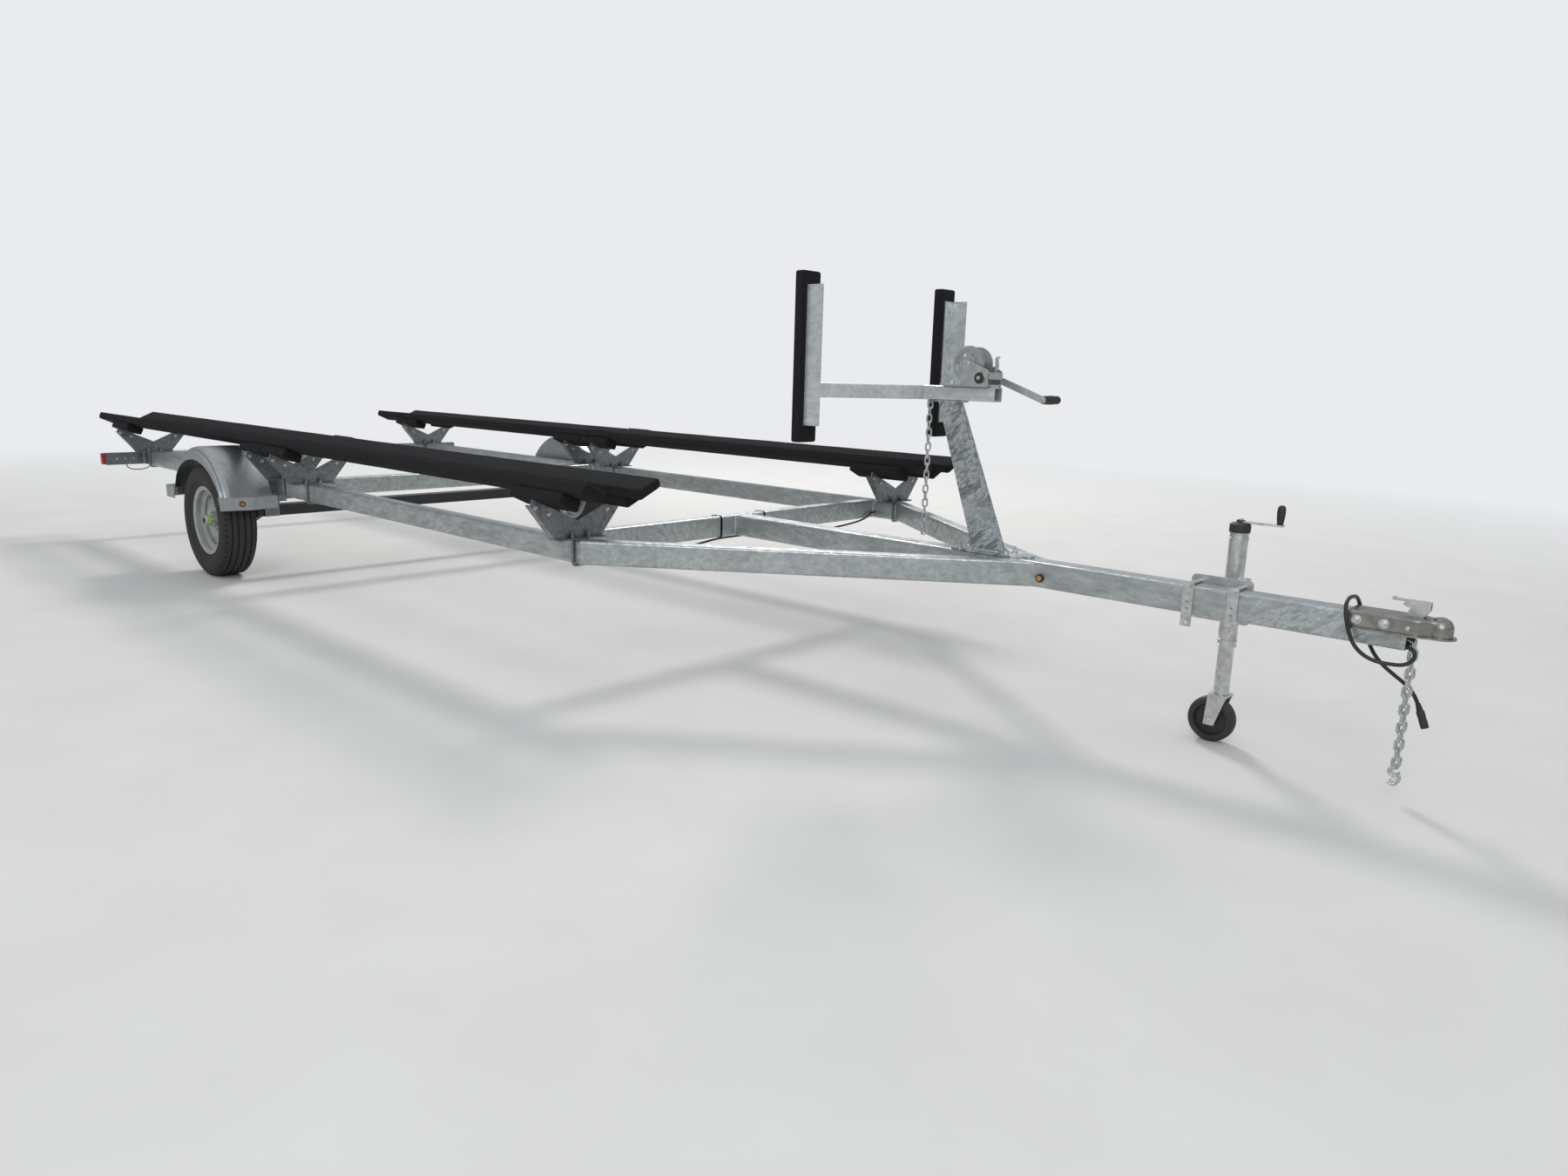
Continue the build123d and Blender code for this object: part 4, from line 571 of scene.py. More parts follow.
def bolt(shape, at, direction, size, shank=0.0, nut=False):
    """Hex head or nut on its washer, standing on a face; a nut shows the thread's end."""
    at, direction = Vector(at), Vector(direction).normalized()
    washer = (
        (0, 0), (size * 1.12, 0), (size * 1.12, size * 0.16), (size * 1.0, size * 0.2), (0, size * 0.2),
    )
    turned(shape, washer, at, direction, 24, False)
    head = bmesh.ops.create_cone(shape, cap_ends=True, segments=6, radius1=size * 0.92,
                                 radius2=size * 0.92, depth=size * 0.7)["verts"]
    crown = [f for f in {f for v in head for f in v.link_faces} if all(v.co.z > 0 for v in f.verts)]
    bmesh.ops.inset_individual(shape, faces=crown, thickness=size * 0.12, depth=size * 0.07)
    head = list(set(head) | {v for f in crown for v in f.verts})
    bmesh.ops.translate(shape, vec=(0, 0, size * 0.55), verts=head)
    bmesh.ops.transform(shape, matrix=Matrix.Translation(at) @ towards(direction), verts=head)
    if nut:
        thread_end = at + direction * (size * 1.25 + shank)
        rod(shape, at + direction * size * 0.8, thread_end, size * 0.5, 14, size * 0.1)


def bolts(name, body, spots, size, nut=False, shank=0.004):
    """One piece of like bolts, each at its (place, direction)."""
    shape = bmesh.new()
    for at, direction in spots:
        bolt(shape, at, direction, size, shank, nut)
    piece(name, shape, bright_zinc, body, 30.0, 0)


def band(shape, low, high, across, wide, thick):
    """Strap pulled round a bar: across is the way that the bar runs, 0, 1 or 2."""
    made = bmesh.ops.create_cube(shape, size=1.0)["verts"]
    middle = (Vector(low) + Vector(high)) / 2
    size = Vector(high) - Vector(low) + Vector((2 * thick,) * 3)
    size[across] = wide
    bmesh.ops.scale(shape, vec=size, verts=made)
    bmesh.ops.translate(shape, vec=middle, verts=made)
    faces = {f for v in made for f in v.link_faces}
    caps = [f for f in faces if abs((f.calc_center_median() - middle)[across]) > wide * 0.4]
    bmesh.ops.delete(shape, geom=caps, context="FACES_ONLY")
    corners = [
        e for e in {e for f in shape.faces if f in faces for e in f.edges}
        if abs((e.verts[0].co - e.verts[1].co)[across]) > wide * 0.9
    ]
    bmesh.ops.bevel(shape, geom=corners, offset=0.009, offset_type="OFFSET", segments=4,
                    profile=0.5, affect="EDGES", material=-1)
    wall = {f for v in made if v.is_valid for f in v.link_faces}
    wall |= {f for f in shape.faces if f.is_valid and abs(f.normal[across]) < 0.1}
    bmesh.ops.solidify(shape, geom=list(wall), thickness=-thick)


# Wheels
def wheel_middle(side):
    return Vector((axle.x, middle_of("tyre_" + side, 1), axle.z))


def tyre(side):
    """Tyre with four grooves, notched shoulders and a stepped side wall."""
    steps = 120
    tread_edge = 0.066
    groove_floor = 0.2905
    ribs = [(tread_edge, 0.2972)]
    for where, wide in ((0.047, 0.0042), (0.0165, 0.005)):
        ribs += [
            (where + wide, 0.2988), (where + wide * 0.72, groove_floor),
            (where - wide * 0.72, groove_floor), (where - wide, 0.2990),
        ]
    flank = [
        (0.058, 0.1671), (0.0635, 0.170), (0.0655, 0.181), (0.0705, 0.1835), (0.0715, 0.1885),
        (0.0765, 0.196), (0.0790, 0.2030), (0.0845, 0.2150), (0.0855, 0.2165), (0.0862, 0.2165),
        (0.0885, 0.2300), (0.0898, 0.2420), (0.0892, 0.2500), (0.0899, 0.2512), (0.0880, 0.2620),
        (0.0845, 0.2740), (0.0790, 0.2850), (0.0755, 0.2895), (0.0700, 0.2950),
    ]
    half = flank + ribs
    outline = half + [(-y, r) for y, r in reversed(half)]
    shape = bmesh.new()
    turned(shape, [(r, y) for y, r in outline], (0, 0, 0), (0, 0, 1), steps)
    notches = []
    for face in shape.faces:
        at = face.calc_center_median()
        on_shoulder = 0.285 < math.hypot(at.x, at.y) < 0.2965 and abs(at.z) > tread_edge
        if on_shoulder and round((math.atan2(at.y, at.x) + math.pi) / (2 * math.pi) * steps) % 2 == 0:
            notches.append(face)
    bmesh.ops.inset_individual(shape, faces=notches, thickness=0.0022, depth=-0.0028)
    zigzag = 0.0014
    for v in shape.verts:
        radius, turn = math.hypot(v.co.x, v.co.y), math.atan2(v.co.y, v.co.x)
        if radius > 0.2975 and 0.01 < abs(v.co.z) < 0.055:
            v.co.z += zigzag * (1 if round(turn / (2 * math.pi) * steps) % 2 else -1)
    place = Matrix.Translation(wheel_middle(side)) @ towards((0, 1, 0))
    bmesh.ops.transform(shape, matrix=place, verts=shape.verts)
    made = piece("tread_" + side, shape, tyre_rubber, "wheel_" + side, 30.0)
    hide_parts("tyre_" + side)


def bearing_cap(side, out):
    """Cup with its lime band and rubber plug over the hub, and the wheel's valve stem."""
    body = "wheel_" + side
    middle = wheel_middle(side)
    face = middle + Vector((0, out * 0.079, 0))
    cup = (
        (0.0256, -0.036), (0.0278, -0.036), (0.0284, -0.034), (0.0278, -0.0315), (0.0274, -0.0300),
        (0.0274, -0.0055), (0.0262, -0.0020), (0.0235, 0.0002), (0.0195, 0.0006), (0.0178, -0.0010),
        (0.0176, -0.0050), (0.0256, -0.0050),
    )
    turned_piece("cap_cup_" + side, cup, face, (0, out, 0), 48, bright_zinc, body)
    colour_band = (
        (0.0272, -0.0302), (0.0281, -0.0300), (0.0283, -0.0290), (0.0283, -0.0074), (0.0281, -0.0064),
        (0.0272, -0.0062),
    )
    turned_piece("cap_band_" + side, colour_band, face, (0, out, 0), 48, lime, body)
    plug = (
        (0, 0.0034), (0.0040, 0.0032), (0.0052, 0.0008), (0.0125, 0.0002), (0.0140, 0.0022),
        (0.0166, 0.0022), (0.0174, 0.0008), (0.0174, -0.0048), (0, -0.0048),
    )
    turned_piece("cap_plug_" + side, plug, face, (0, out, 0), 40, grip_rubber, body, False)
    stem = (
        (0, -0.002), (0.0080, -0.002), (0.0082, 0.003), (0.0056, 0.006), (0.0050, 0.022), (0.0042, 0.024),
        (0.0042, 0.033), (0.0036, 0.034), (0, 0.034),
    )
    foot = middle + Vector((0.1492, out * 0.034, 0.0))
    turned_piece("valve_" + side, stem, foot, (-0.42, out * 0.9, 0), 20, black_plastic, body,
                 False)


# Chains
def link(shape, middle, way, twist):
    """One welded link: two straights and two half turns of round wire."""
    length, width, wire = 0.039, 0.023, 0.0066
    reach, arm = (width - wire) / 2, (length - width) / 2
    known = set(shape.verts)
    start = bmesh.ops.create_circle(shape, segments=8, radius=wire / 2)["verts"]
    bmesh.ops.translate(shape, vec=(reach, 0, -arm), verts=start)
    geom = start + edges_of(start)
    for end in (1, -1):
        loop = [g for g in geom if isinstance(g, bmesh.types.BMEdge)]
        run = bmesh.ops.extrude_edge_only(shape, edges=loop)["geom"]
        verts = [g for g in run if isinstance(g, bmesh.types.BMVert)]
        bmesh.ops.translate(shape, vec=(0, 0, end * 2 * arm), verts=verts)
        edges = [g for g in run if isinstance(g, bmesh.types.BMEdge) and all(v in verts for v in g.verts)]
        geom = bmesh.ops.spin(shape, geom=verts + edges, cent=(0, 0, end * arm), axis=(0, -1, 0),
                              angle=math.pi, steps=6)["geom_last"]
    bmesh.ops.remove_doubles(shape, verts=added(shape, known), dist=1e-5)
    turn = Matrix.Rotation(math.radians(twist), 4, "Z")
    place = Matrix.Translation(middle) @ towards(way) @ turn
    bmesh.ops.transform(shape, matrix=place, verts=added(shape, known))


def hang(shape, top, low, seed, pin=None):
    """Links from top straight down to low, each a quarter turn from the last; the first holds the pin."""
    pitch = 0.0262
    dice = random.Random(seed)
    if pin is not None:
        eye = Vector(top) - Vector((0, 0, 0.002))
        link(shape, (eye + Vector(pin)) / 2, eye - Vector(pin), 0)
    count = int((top[2] - low) / pitch)
    first = 90 if pin is not None else 45
    for i in range(count):
        wobble = dice.uniform(-9, 9)
        shift = (dice.uniform(-0.0008, 0.0008), dice.uniform(-0.0008, 0.0008), pitch * (i + 0.5) + 0.004)
        link(shape, Vector(top) - Vector(shift), (0, 0, 1), first + 90 * (i % 2) + wobble)
    return top[2] - pitch * count - 0.006


def bow_chain():
    low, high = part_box("bow_chain")
    eye = Vector(((low[0] + high[0]) / 2, 0, high[2]))
    shape = bmesh.new()
    hang(shape, eye, low[2] + 0.004, 4)
    made = piece("bow_chain_links", shape, chain_zinc, "frame", 60.0, 0)
    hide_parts("bow_chain")
    shape = bmesh.new()
    drop = -0.010
    for s in (-1, 1):
        rod(shape, eye + Vector((0, s * 0.012, 0.0)), eye + Vector((0, s * 0.012, drop)), 0.0042, 12)
    rod(shape, eye + Vector((0, -0.014, drop)), eye + Vector((0, 0.014, drop)), 0.0036, 12)
    piece("bow_chain_eye", shape, bright_zinc, "frame")


def hook(shape, base):
    """S-hook: two open turns of wire, one over the other."""
    for lift, out in ((-0.010, 1), (-0.036, -1)):
        known = set(shape.verts)
        start = bmesh.ops.create_circle(shape, segments=10, radius=0.0042)["verts"]
        bmesh.ops.translate(shape, vec=(out * 0.0125, 0, 0), verts=start)
        bmesh.ops.spin(shape, geom=start + edges_of(start), cent=(0, 0, 0), axis=(0, -out, 0),
                       angle=math.radians(255), steps=14)
        fresh = added(shape, known)
        tip = Matrix.Rotation(math.radians(out * -75), 3, "Y")
        bmesh.ops.rotate(shape, verts=fresh, cent=(0, 0, 0), matrix=tip)
        bmesh.ops.translate(shape, verts=fresh, vec=base + Vector((0, 0, lift)))


def safety_chains():
    """Two chains with their hooks; gives the place of the pin that holds them."""
    low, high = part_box("safety_chains")
    middle_x = (low[0] + high[0]) / 2
    pin = Vector((tongue_high[0] - 0.016, 0, high[2] + 0.007))
    shape = bmesh.new()
    ends = []
    for y, seed in ((0.002, 7), (0.027, 9)):
        end = hang(shape, (middle_x, y, high[2]), low[2] + 0.062, seed, pin + Vector((0, y, 0)))
        ends.append((y, end))
    made = piece("safety_chain_links", shape, chain_zinc, "frame", 60.0, 0)
    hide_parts("safety_chains")
    shape = bmesh.new()
    for y, end in ends:
        hook(shape, Vector((middle_x, y, end)))
    bmesh.ops.holes_fill(shape, edges=shape.edges, sides=12)
    piece("safety_hooks", shape, bright_zinc, "frame", 60.0, 0)
    return pin


# Boards and blocks wrapped in carpet
BOARD_THICK = 0.044
CARPET_SWELL = 0.0011
FOLD_LENGTH = 0.19
FOLD_THICK = 0.0055


def wrapped(shape, lean, side, x0, x1, low, wide, ends, seed, folded=0):
    """Plank on the slope of a V, its carpet pulled round; it lies double at the folded end."""
    thick, shift = BOARD_THICK, 0.168
    length = x1 - x0
    known = set(shape.verts)
    made = bmesh.ops.create_cube(shape, size=1.0)["verts"]
    bmesh.ops.scale(shape, vec=(length, wide, thick), verts=made)
    for end in ends:
        tip = Vector((end * length / 2 - end * 0.0194, 0, -thick / 2))
        cut(shape, known, tip, (end * 0.62, 0, -0.78), trim=True)
        bmesh.ops.holes_fill(shape, edges=[e for e in shape.edges if e.is_boundary], sides=8)
    bmesh.ops.bevel(shape, geom=edges_of(added(shape, known)), offset=0.0075, offset_type="OFFSET",
                    segments=3, profile=0.5, affect="EDGES", material=-1)
    cuts = max(int(length / 0.06), 2)
    for i in range(1, cuts):
        cut(shape, known, (-length / 2 + length * i / cuts, 0, 0), (1, 0, 0))
    for v in added(shape, known):
        wave = noise.noise(Vector((v.co.x * 7.0 + seed * 3.7, v.co.y * 22.0, v.co.z * 30.0 + seed)))
        reach = Vector((0, v.co.y, v.co.z)).normalized()
        if abs(v.co.z + thick / 2) > 0.002 or low > 0.01:
            v.co += reach * CARPET_SWELL * (wave - 0.3)
        from_end = length / 2 - folded * v.co.x
        if folded and from_end < FOLD_LENGTH and v.co.z > -thick / 2 + 0.004:
            v.co += reach * (FOLD_THICK if from_end > 0.006 else 0.001)
    place = Matrix.Translation(((x0 + x1) / 2, side * rail_y, notch))
    place = place @ Matrix.Rotation(side * lean * SLOPE, 4, "X")
    place = place @ Matrix.Translation((0, side * lean * shift, low + thick / 2))
    bmesh.ops.transform(shape, matrix=place, verts=added(shape, known))


def bunks():
    """Outer and inner boards in two lengths, and the blocks that they lie on."""
    halves = (
        ("rear", front - 5.080, front - 2.3315, -1, 0),
        ("front", front - 2.3285, front + 0.215, 1, -1),
    )
    seed = 0
    for name, lean in (("outer_bunks", 1), ("inner_bunks", -1)):
        for side, s in SIDES:
            for part, x0, x1, end, folded in halves:
                seed += 1
                shape = bmesh.new()
                wrapped(shape, lean, s, x0, x1, BOARD_THICK, 0.096, (end,), seed, folded)
                made = piece(f"{name}_{part}_{side}", shape, bunk_carpet, "frame", 50.0)
                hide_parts(name)
    shape = bmesh.new()
    for station in stations:
        half = (0.300 if station in (stations[0], stations[-1]) else 0.270) / 2
        for s in (-1, 1):
            for lean in (-1, 1):
                seed += 1
                wrapped(shape, lean, s, station - half, station + half, 0.0, 0.092, (), seed)
    made = piece("carpeted_blocks", shape, bunk_carpet, "frame", 50.0)
    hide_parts("bunk_blocks")


def guide_boards():
    low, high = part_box("guide_boards")
    middle_x = (low[0] + high[0]) / 2
    width, swell, cuts = 0.092, 0.0010, 12
    shape = bmesh.new()
    for s in (-1, 1):
        known = set(shape.verts)
        y0, y1 = sorted((s * high[1], s * (high[1] - width)))
        block(shape, (low[0], y0, low[2]), (high[0], y1, high[2]), 0.008, 3)
        for i in range(1, cuts):
            cut(shape, known, (0, 0, low[2] + (high[2] - low[2]) * i / cuts), (0, 0, 1))
    for v in shape.verts:
        wave = noise.noise(Vector((v.co.x * 30.0, v.co.y * 30.0, v.co.z * 8.0)))
        if middle_x + 0.01 < v.co.x <= high[0] - 0.002:
            v.co.x += swell * (wave - 0.4)
        elif v.co.x < middle_x - 0.01:
            v.co.x -= swell * (wave - 0.4)
        v.co.y += swell * wave
    made = piece("carpeted_guides", shape, bunk_carpet, "frame", 50.0)
    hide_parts("guide_boards")


# Bolts through the plates, heads outward
def block_bolts():
    spots = []
    for station in stations:
        for s in (-1, 1):
            for lean in (-1, 1):
                for reach in (0.130, 0.186):
                    place = (station + 0.003, s * rail_y + lean * reach,
                             notch + reach * math.tan(SLOPE) - 0.026)
                    spots.append((place, (1, 0, 0)))
    bolts("block_bolts", "frame", spots, 0.0075)


def frame_bolts():
    """Bolts of the post's foot, the coupler, the lights' plates, the guides and the stop tube's seam."""
    spots = [((front + x, y, frame_top + 0.008), (0, 0, 1)) for x in POST_FOOT for y in (-0.030, 0.030)]
    bolts("base_bolts", "frame", spots, 0.0105, nut=True, shank=0.010)
    cheek = 0.0495
    spots = [
        ((front + x, s * cheek, frame_top - 0.021), (0, s, 0)) for x in (2.318, 2.389) for s in (-1, 1)
    ]
    bolts("coupler_bolts", "frame", spots, 0.0125, nut=True, shank=0.006)
    spots = [((front + 2.4475, s * cheek, frame_top - 0.024), (0, s, 0)) for s in (-1, 1)]
    bolts("coupler_rivets", "frame", spots, 0.0055)
    middle_z = (frame_top + frame_low) / 2
    spots = [
        ((plate_face, s * (HALF_FRAME + out), middle_z), (1, 0, 0))
        for s in (-1, 1) for out in (0.165, 0.119, 0.070)
    ]
    bolts("lamp_bolts", "frame", spots, 0.0058, nut=True)
    board_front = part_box("guide_boards")[1][0] + 0.005
    spots = [
        ((board_front, s * 0.422, frame_top + z), (1, 0, 0)) for s in (-1, 1) for z in (0.470, 0.880)
    ]
    bolts("guide_bolts", "frame", spots, 0.0072)
    seam = Vector((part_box("stop_tube")[0][0] + 0.0255, 0, middle_of("stop_tube", 2)))
    spots = [
        (seam + Vector((0.047, s * 0.0258, z)), (0, s, 0)) for s in (-1, 1) for z in (0.013, -0.013)
    ]
    bolts("seam_bolts", "frame", spots, 0.0066, nut=True, shank=0.003)


# Winch
def rivets(shape, count, first, radius, y, way, outline):
    """Ring of rivet heads round the gear's middle."""
    for i in range(count):
        turn = math.radians(360 / count * i + first)
        at = Vector((gear.x + radius * math.cos(turn), y, gear.z + radius * math.sin(turn)))
        turned(shape, outline, at, (0, way, 0), 12, False)


def drum_and_gear():
    drum_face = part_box("winch_drum")[1][1]
    shape = bmesh.new()
    rivets(shape, 6, 14, 0.030, drum_face, 1, ((0, 0.0022), (0.0026, 0.0018), (0.0042, 0.0), (0, 0.0)))
    collar = ((0.0070, 0), (0.014, 0), (0.014, 0.0030), (0.0125, 0.0045), (0.0070, 0.0045))
    turned(shape, collar, (gear.x, drum_face, gear.z), (0, 1, 0), 32)
    lip = ((0.0575, 0), (0.061, 0), (0.0615, 0.0028), (0.0600, 0.0042), (0.0580, 0.0032))
    turned(shape, lip, (gear.x, drum_face - 0.001, gear.z), (0, 1, 0), 64)
    piece("drum_rivets", shape, bright_zinc, "drum", 30.0, 0)
    gear_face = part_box("winch_gear")[0][1]
    shape = bmesh.new()
    collar = ((0.0066, 0), (0.0165, 0), (0.0165, -0.0020), (0.0145, -0.0030), (0.0066, -0.0030))
    turned(shape, collar, (gear.x, gear_face + 0.003, gear.z), (0, 1, 0), 32)
    rivets(shape, 3, 40, 0.0215, gear_face, -1, ((0, 0.0018), (0.0022, 0.0014), (0.0032, 0.0), (0, 0.0)))
    piece("gear_collar", shape, bright_zinc, "drum", 30.0, 0)


def pinion_and_shaft():
    """Cap and bolt on the pinion's end, nuts on the drum's shaft, and the bolts of the frame's foot."""
    pinion = Vector((gear.x + 0.05973, 0, gear.z - 0.04740))
    crank_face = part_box("winch_crank")[0][1]
    cap = (
        (0, 0.0060), (0.0080, 0.0060), (0.0095, 0.0048), (0.0165, 0.0048), (0.0185, 0.0036),
        (0.0195, 0.0012), (0.0195, -0.0002), (0, -0.0002),
    )
    turned_piece("pinion_cap", cap, (pinion.x, crank_face + 0.0018, pinion.z), (0, -1, 0), 48,
                 black_plastic, "crank", False, 30.0)
    bolts("pinion_bolt", "crank", [((pinion.x, crank_face - 0.0040, pinion.z), (0, -1, 0))], 0.0062)
    low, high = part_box("winch_frame")
    shape = bmesh.new()
    nut = ((0.0066, 0), (0.0125, 0), (0.0125, 0.0030), (0.0110, 0.0042), (0, 0.0042))
    for y, way in ((low[1], -1), (high[1], 1)):
        turned(shape, nut, (gear.x, y, gear.z), (0, way, 0), 28, False)
    piece("shaft_nuts", shape, bright_zinc, "frame", 30.0, 0)
    foot = low[2] + 0.009
    spots = [((gear.x + x, 0.0, foot), (0, 0, 1)) for x in (-0.085, -0.052)]
    bolts("winch_bolts", "frame", spots, 0.0078)


def crank_grip():
    """Ribbed sleeve on the crank's end, held by a bolt."""
    low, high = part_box("winch_grip")
    end = Vector(((low[0] + high[0]) / 2, 0, (low[2] + high[2]) / 2))
    rib, count = 0.0065, 14
    outline = [(0.0053, 0.0), (0.0128, 0.0), (0.0142, 0.0016)]
    for i in range(count):
        base = 0.004 + rib * i
        swell = 0.0132 + 0.0016 * math.sin(math.pi * (i + 0.5) / count)
        outline += [
            (swell, base), (swell + 0.0009, base + 0.0012), (swell + 0.0009, base + 0.0042),
            (swell, base + 0.0054),
        ]
    outline += [(0.0146, 0.0975), (0.0140, 0.1020), (0.0115, 0.1040), (0.0053, 0.1040)]
    made = turned_piece("ribbed_grip", outline, (end.x, low[1], end.z), (0, 1, 0), 36,
                        grip_rubber, "grip", True, 40.0)
    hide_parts("winch_grip")
    bolts("grip_bolt", "crank", [((end.x, 0.0610, end.z), (0, -1, 0))], 0.0085)


# Trim
def cross_ties():
    """Ties that hold the loom to the front crossmember."""
    low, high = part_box("front_crossmember")
    shape = bmesh.new()
    for y in (-0.130, 0.140):
        band(shape, (low[0], y, low[2]), (high[0], y, high[2]), 1, 0.007, 0.0016)
    piece("cross_ties", shape, black_plastic, "frame", 50.0, 0)


def marker_rings():
    """Rings round the amber markers, on the fenders' skirts and on the tongue's sides."""
    skirt_turn = math.atan2(0.034, 0.140)
    ring = (
        (0.0106, 0.0), (0.0148, 0.0), (0.0148, 0.0060), (0.0134, 0.0088), (0.0108, 0.0099),
        (0.0090, 0.0096), (0.0090, 0.0088), (0.0106, 0.0086),
    )
    marker_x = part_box("marker_lights")[0][0]
    fender_low, fender_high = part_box("fender_left")
    shape = bmesh.new()
    for s in (-1, 1):
        at = Vector((marker_x + 0.011 * math.sin(skirt_turn), s * (fender_high[1] - 0.092),
                     fender_low[2] + 0.033))
        turned(shape, ring, at, (math.cos(skirt_turn), s * math.sin(skirt_turn), 0), 32)
        at = Vector((front + ARM_REACH + 0.028, s * tongue_high[1], frame_top - 0.054))
        turned(shape, ring, at, (0, s, 0), 32)
    piece("marker_rings", shape, black_plastic, "frame", 30.0, 0)


def lighting_cord():
    """Plug on the cord's end: ribbed boot, round body, collar and four contacts."""
    end = Vector(wiring_points[-1])
    way = (end - Vector(wiring_points[-2])).normalized()
    outline = [(0.0056, -0.020), (0.0066, -0.020)]
    for i in range(4):
        swell, step = 0.0005 * i, 0.0045 * i
        outline += [
            (0.0070 + swell, -0.018 + step), (0.0070 + swell, -0.0155 + step),
            (0.0062 + swell, -0.0150 + step),
        ]
    outline += [
        (0.0098, 0.0015), (0.0108, 0.006), (0.0108, 0.020), (0.0100, 0.0215), (0.0100, 0.0245),
        (0.0108, 0.026), (0.0108, 0.0495), (0.0100, 0.052), (0.0086, 0.052), (0.0080, 0.045), (0, 0.045),
    ]
    shape = bmesh.new()
    turned(shape, outline, end, way, 32, False)
    plug = piece("plug_body", shape, black_plastic, "frame", 30.0, 0)
    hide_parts("cord_plug")
    across = way.orthogonal().normalized()
    apart = 0.0048
    shape = bmesh.new()
    for i in range(4):
        at = end + way * 0.044 + across * (apart * (i // 2 * 2 - 1))
        at += way.cross(across) * (apart * (i % 2 * 2 - 1)) * 0.7
        rod(shape, at, at + way * 0.0068, 0.0013, 10, 0.0004)
    contacts = piece("plug_contacts", shape, brass, "frame", 30.0, 0)


def chain_bolt(pin):
    """Pin across the tongue that the safety chains hang on."""
    shape = bmesh.new()
    reach = Vector((0, 0.0400, 0))
    rod(shape, pin - reach, pin + reach, 0.0048, 16)
    piece("chain_pin", shape, bright_zinc, "frame", 30.0, 0)


# Jack
def jack_head(top):
    """Cap over the tube, crank arm on its stub, and the knob on the arm's end."""
    cap = (
        (0.0285, -0.010), (0.0312, -0.010), (0.0322, -0.006), (0.0322, 0.010), (0.0306, 0.0165),
        (0.0250, 0.0205), (0.0140, 0.0225), (0.0130, 0.0290), (0, 0.0300),
    )
    made = turned_piece("jack_cap", cap, top, (0, 0, 1), 48, black_plastic, "jack",
                        False, 40.0)
    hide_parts("jack_handle")
    arm_low, arm_high, half_arm = 0.0205, 0.0265, 0.011
    shape = bmesh.new()
    block(shape, (top.x - 0.012, top.y - half_arm, top.z + arm_low),
          (top.x + 0.130, top.y + half_arm, top.z + arm_high), 0.0022)
    rod(shape, top + Vector((0, 0, 0.010)), top + Vector((0, 0, 0.0335)), 0.0085, 20, 0.001)
    piece("jack_crank_arm", shape, bright_zinc, "jack", 30.0, 0)
    knob = (
        (0, 0.0), (0.0075, 0.0), (0.0095, 0.002), (0.0100, 0.008), (0.0118, 0.024), (0.0125, 0.040),
        (0.0118, 0.052), (0.0085, 0.0590), (0.0040, 0.0608), (0, 0.061),
    )
    turned_piece("jack_knob", knob, (top.x + 0.118, top.y, top.z + arm_high), (0, 0, 1), 32,
                 black_plastic, "jack", False, 60.0)


def pull_pin(top):
    """Pin that locks the jack's swing, with its ring."""
    pivot = Vector((top.x, 0, (frame_top + frame_low) / 2))
    x, z = 0.052, 0.050
    shape = bmesh.new()
    rod(shape, pivot + Vector((x, 0.0505, z)), pivot + Vector((x, 0.0785, z)), 0.0085, 20, 0.001)
    rod(shape, pivot + Vector((x, 0.0785, z)), pivot + Vector((x, 0.0905, z)), 0.0050, 16, 0.0006)
    known = set(shape.verts)
    start = bmesh.ops.create_circle(shape, segments=10, radius=0.0026)["verts"]
    bmesh.ops.translate(shape, vec=(0.017, 0, 0), verts=start)
    bmesh.ops.spin(shape, geom=start + edges_of(start), cent=(0, 0, 0), axis=(0, 1, 0),
                   angle=2 * math.pi, steps=28, use_merge=True)
    ring = added(shape, known)
    bmesh.ops.translate(shape, vec=pivot + Vector((x, 0.1065, z)), verts=ring)
    bmesh.ops.rotate(shape, verts=ring, cent=pivot + Vector((x, 0.0905, z)),
                     matrix=Matrix.Rotation(math.radians(90), 3, "X"))
    piece("jack_pull_pin", shape, bright_zinc, "frame", 40.0, 0)


def jack():
    tube_low, tube_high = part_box("jack_tube")
    top = Vector((front + 1.908, 0.150, tube_high[2]))
    jack_head(top)
    ring = ((0.0284, -0.003), (0.0302, -0.0022), (0.0306, 0.0), (0.0302, 0.0022), (0.0284, 0.003))
    shape = bmesh.new()
    for height in (tube_low[2] + 0.004, tube_low[2] + 0.022, tube_high[2] - 0.030):
        turned(shape, ring, (top.x, top.y, height), (0, 0, 1), 48)
    piece("jack_rings", shape, bright_zinc, "jack", 40.0, 0)
    pull_pin(top)
    hub_x, hub_z = middle_of("jack_wheel", 0), middle_of("jack_wheel", 2)
    spots = [((hub_x, top.y + s * 0.032, hub_z), (0, s, 0)) for s in (-1, 1)]
    bolts("jack_wheel_bolt", "caster", spots, 0.0078)


# Tail lights
LAMP_WIDTH = 0.190


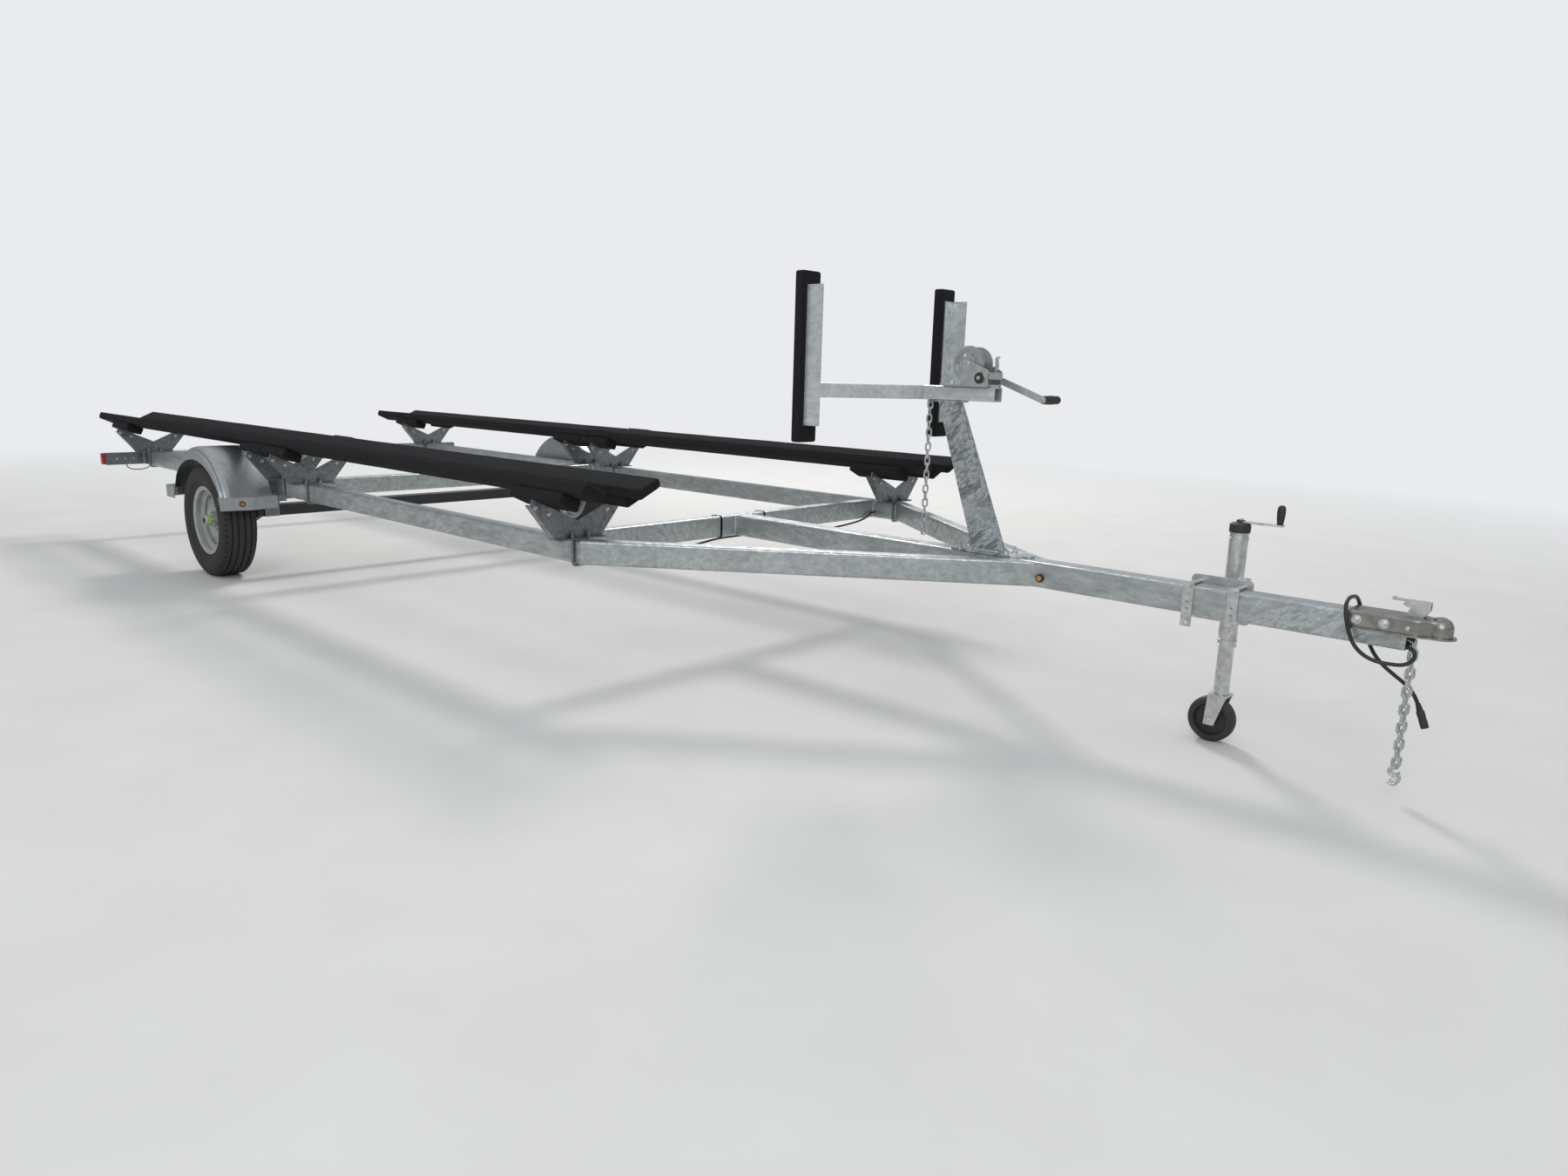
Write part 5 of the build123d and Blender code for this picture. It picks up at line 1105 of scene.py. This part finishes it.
def tail_light(side, s):
    """Black base, red lens that covers its outer end, and a clear strip below."""
    outer = s * lamp_high[1]
    inner = s * (lamp_high[1] - LAMP_WIDTH)
    y0, y1 = sorted((inner, outer))
    base_y0, base_y1 = sorted((inner, s * (lamp_high[1] - 0.022)))
    shape = bmesh.new()
    block(shape, (lamp_high[0] - 0.007, base_y0, lamp_low[2]), (lamp_high[0], base_y1, lamp_high[2]), 0.002)
    base = piece("lamp_base_" + side, shape, black_plastic, "frame")
    shape = bmesh.new()
    block(shape, (lamp_low[0], y0 + 0.001, lamp_low[2] + 0.002),
          (lamp_high[0] - 0.0050, y1 - 0.001, lamp_high[2] - 0.002), 0.007, 4)
    panels = [f for f in shape.faces if f.normal.x < -0.99 and f.calc_area() > 0.002]
    bmesh.ops.inset_region(shape, faces=panels, thickness=0.006, depth=0.0)
    bmesh.ops.inset_region(shape, faces=panels, thickness=0.0012, depth=-0.0012)
    red = piece("lamp_lens_" + side, shape, red_lens, "frame")
    shape = bmesh.new()
    block(shape, (lamp_low[0] + 0.022, y0 + 0.060, lamp_low[2] - 0.0012),
          (lamp_high[0] - 0.006, y1 - 0.060, lamp_low[2] + 0.004), 0.0016)
    piece("lamp_window_" + side, shape, clear_lens, "frame")
    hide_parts("tail_lights")


def lamp_screws():
    head = ((0, 0.0012), (0.0030, 0.0010), (0.0038, 0.0), (0, 0.0))
    shape = bmesh.new()
    for s in (-1, 1):
        for y in (0.030, 0.160):
            at = Vector((lamp_low[0] + 0.0012, s * (lamp_high[1] - y), (lamp_low[2] + lamp_high[2]) / 2))
            turned(shape, head, at, (-1, 0, 0), 16, False)
    piece("lamp_screws", shape, bright_zinc, "frame", 30.0, 0)


# Weld beads where tubes meet
def bead(shape, start, end, seed, radius=0.0042):
    """Rippled bead: a chain of shallow rings along a seam."""
    start, end = Vector(start), Vector(end)
    length = (end - start).length
    count = max(int(length / 0.0045), 3)
    known = set(shape.verts)
    bmesh.ops.create_cone(shape, cap_ends=True, segments=8, radius1=radius, radius2=radius, depth=length)
    for i in range(1, count):
        cut(shape, known, (0, 0, length * (i / count - 0.5)), (0, 0, 1))
    fresh = added(shape, known)
    for v in fresh:
        step = round((v.co.z / length + 0.5) * count)
        grow = 1.0 + (0.16 if step % 2 else -0.08) + 0.08 * math.sin(step * 1.7 + seed)
        if step in (0, count):
            grow = 0.55
        v.co.x *= grow
        v.co.y *= grow
    place = Matrix.Translation((start + end) / 2) @ towards(end - start)
    bmesh.ops.transform(shape, matrix=place, verts=fresh)


def welds():
    """Beads at the crossmembers' ends, at the tongue's foot and beside the post's foot."""
    clear = 0.006
    shape = bmesh.new()
    seed = 0
    for name in ("front_crossmember", "middle_crossmember", "rear_crossmember"):
        low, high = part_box(name)
        for s in (-1, 1):
            y = s * high[1]
            for x in (low[0], high[0]):
                seed += 1
                bead(shape, (x, y, low[2] + clear), (x, y, high[2] - clear), seed)
            top = high[2] - 0.0015
            bead(shape, (low[0] + clear, y, top), (high[0] - clear, y, top), seed + 40)
    x = cross_face + 0.001
    for s in (-1, 1):
        y = s * 0.0445
        bead(shape, (x, y, frame_low + 0.008), (x, y, frame_top - 0.008), 70 + s)
    bead(shape, (x, -0.038, frame_top - 0.001), (x, 0.038, frame_top - 0.001), 77)
    for s in (-1, 1):
        y, z = s * 0.0250, frame_top + 0.009
        bead(shape, (front + 1.036, y, z), (front + 1.144, y, z), 80 + s, 0.0038)
    piece("weld_beads", shape, weld_metal, "frame", 60.0, 0)


look()
wiring = line("lighting_cord", wiring_points, 0.0055, "wiring_cord")
loom_and_leads()
stage_and_light()
for side, _ in SIDES:
    tyre(side)
for side, s in SIDES:
    bearing_cap(side, s)
bow_chain()
chain_pin = safety_chains()
bunks()
guide_boards()
block_bolts()
frame_bolts()
drum_and_gear()
pinion_and_shaft()
crank_grip()
cross_ties()
marker_rings()
lighting_cord()
chain_bolt(chain_pin)
jack()
for side, s in SIDES:
    tail_light(side, s)
lamp_screws()
welds()
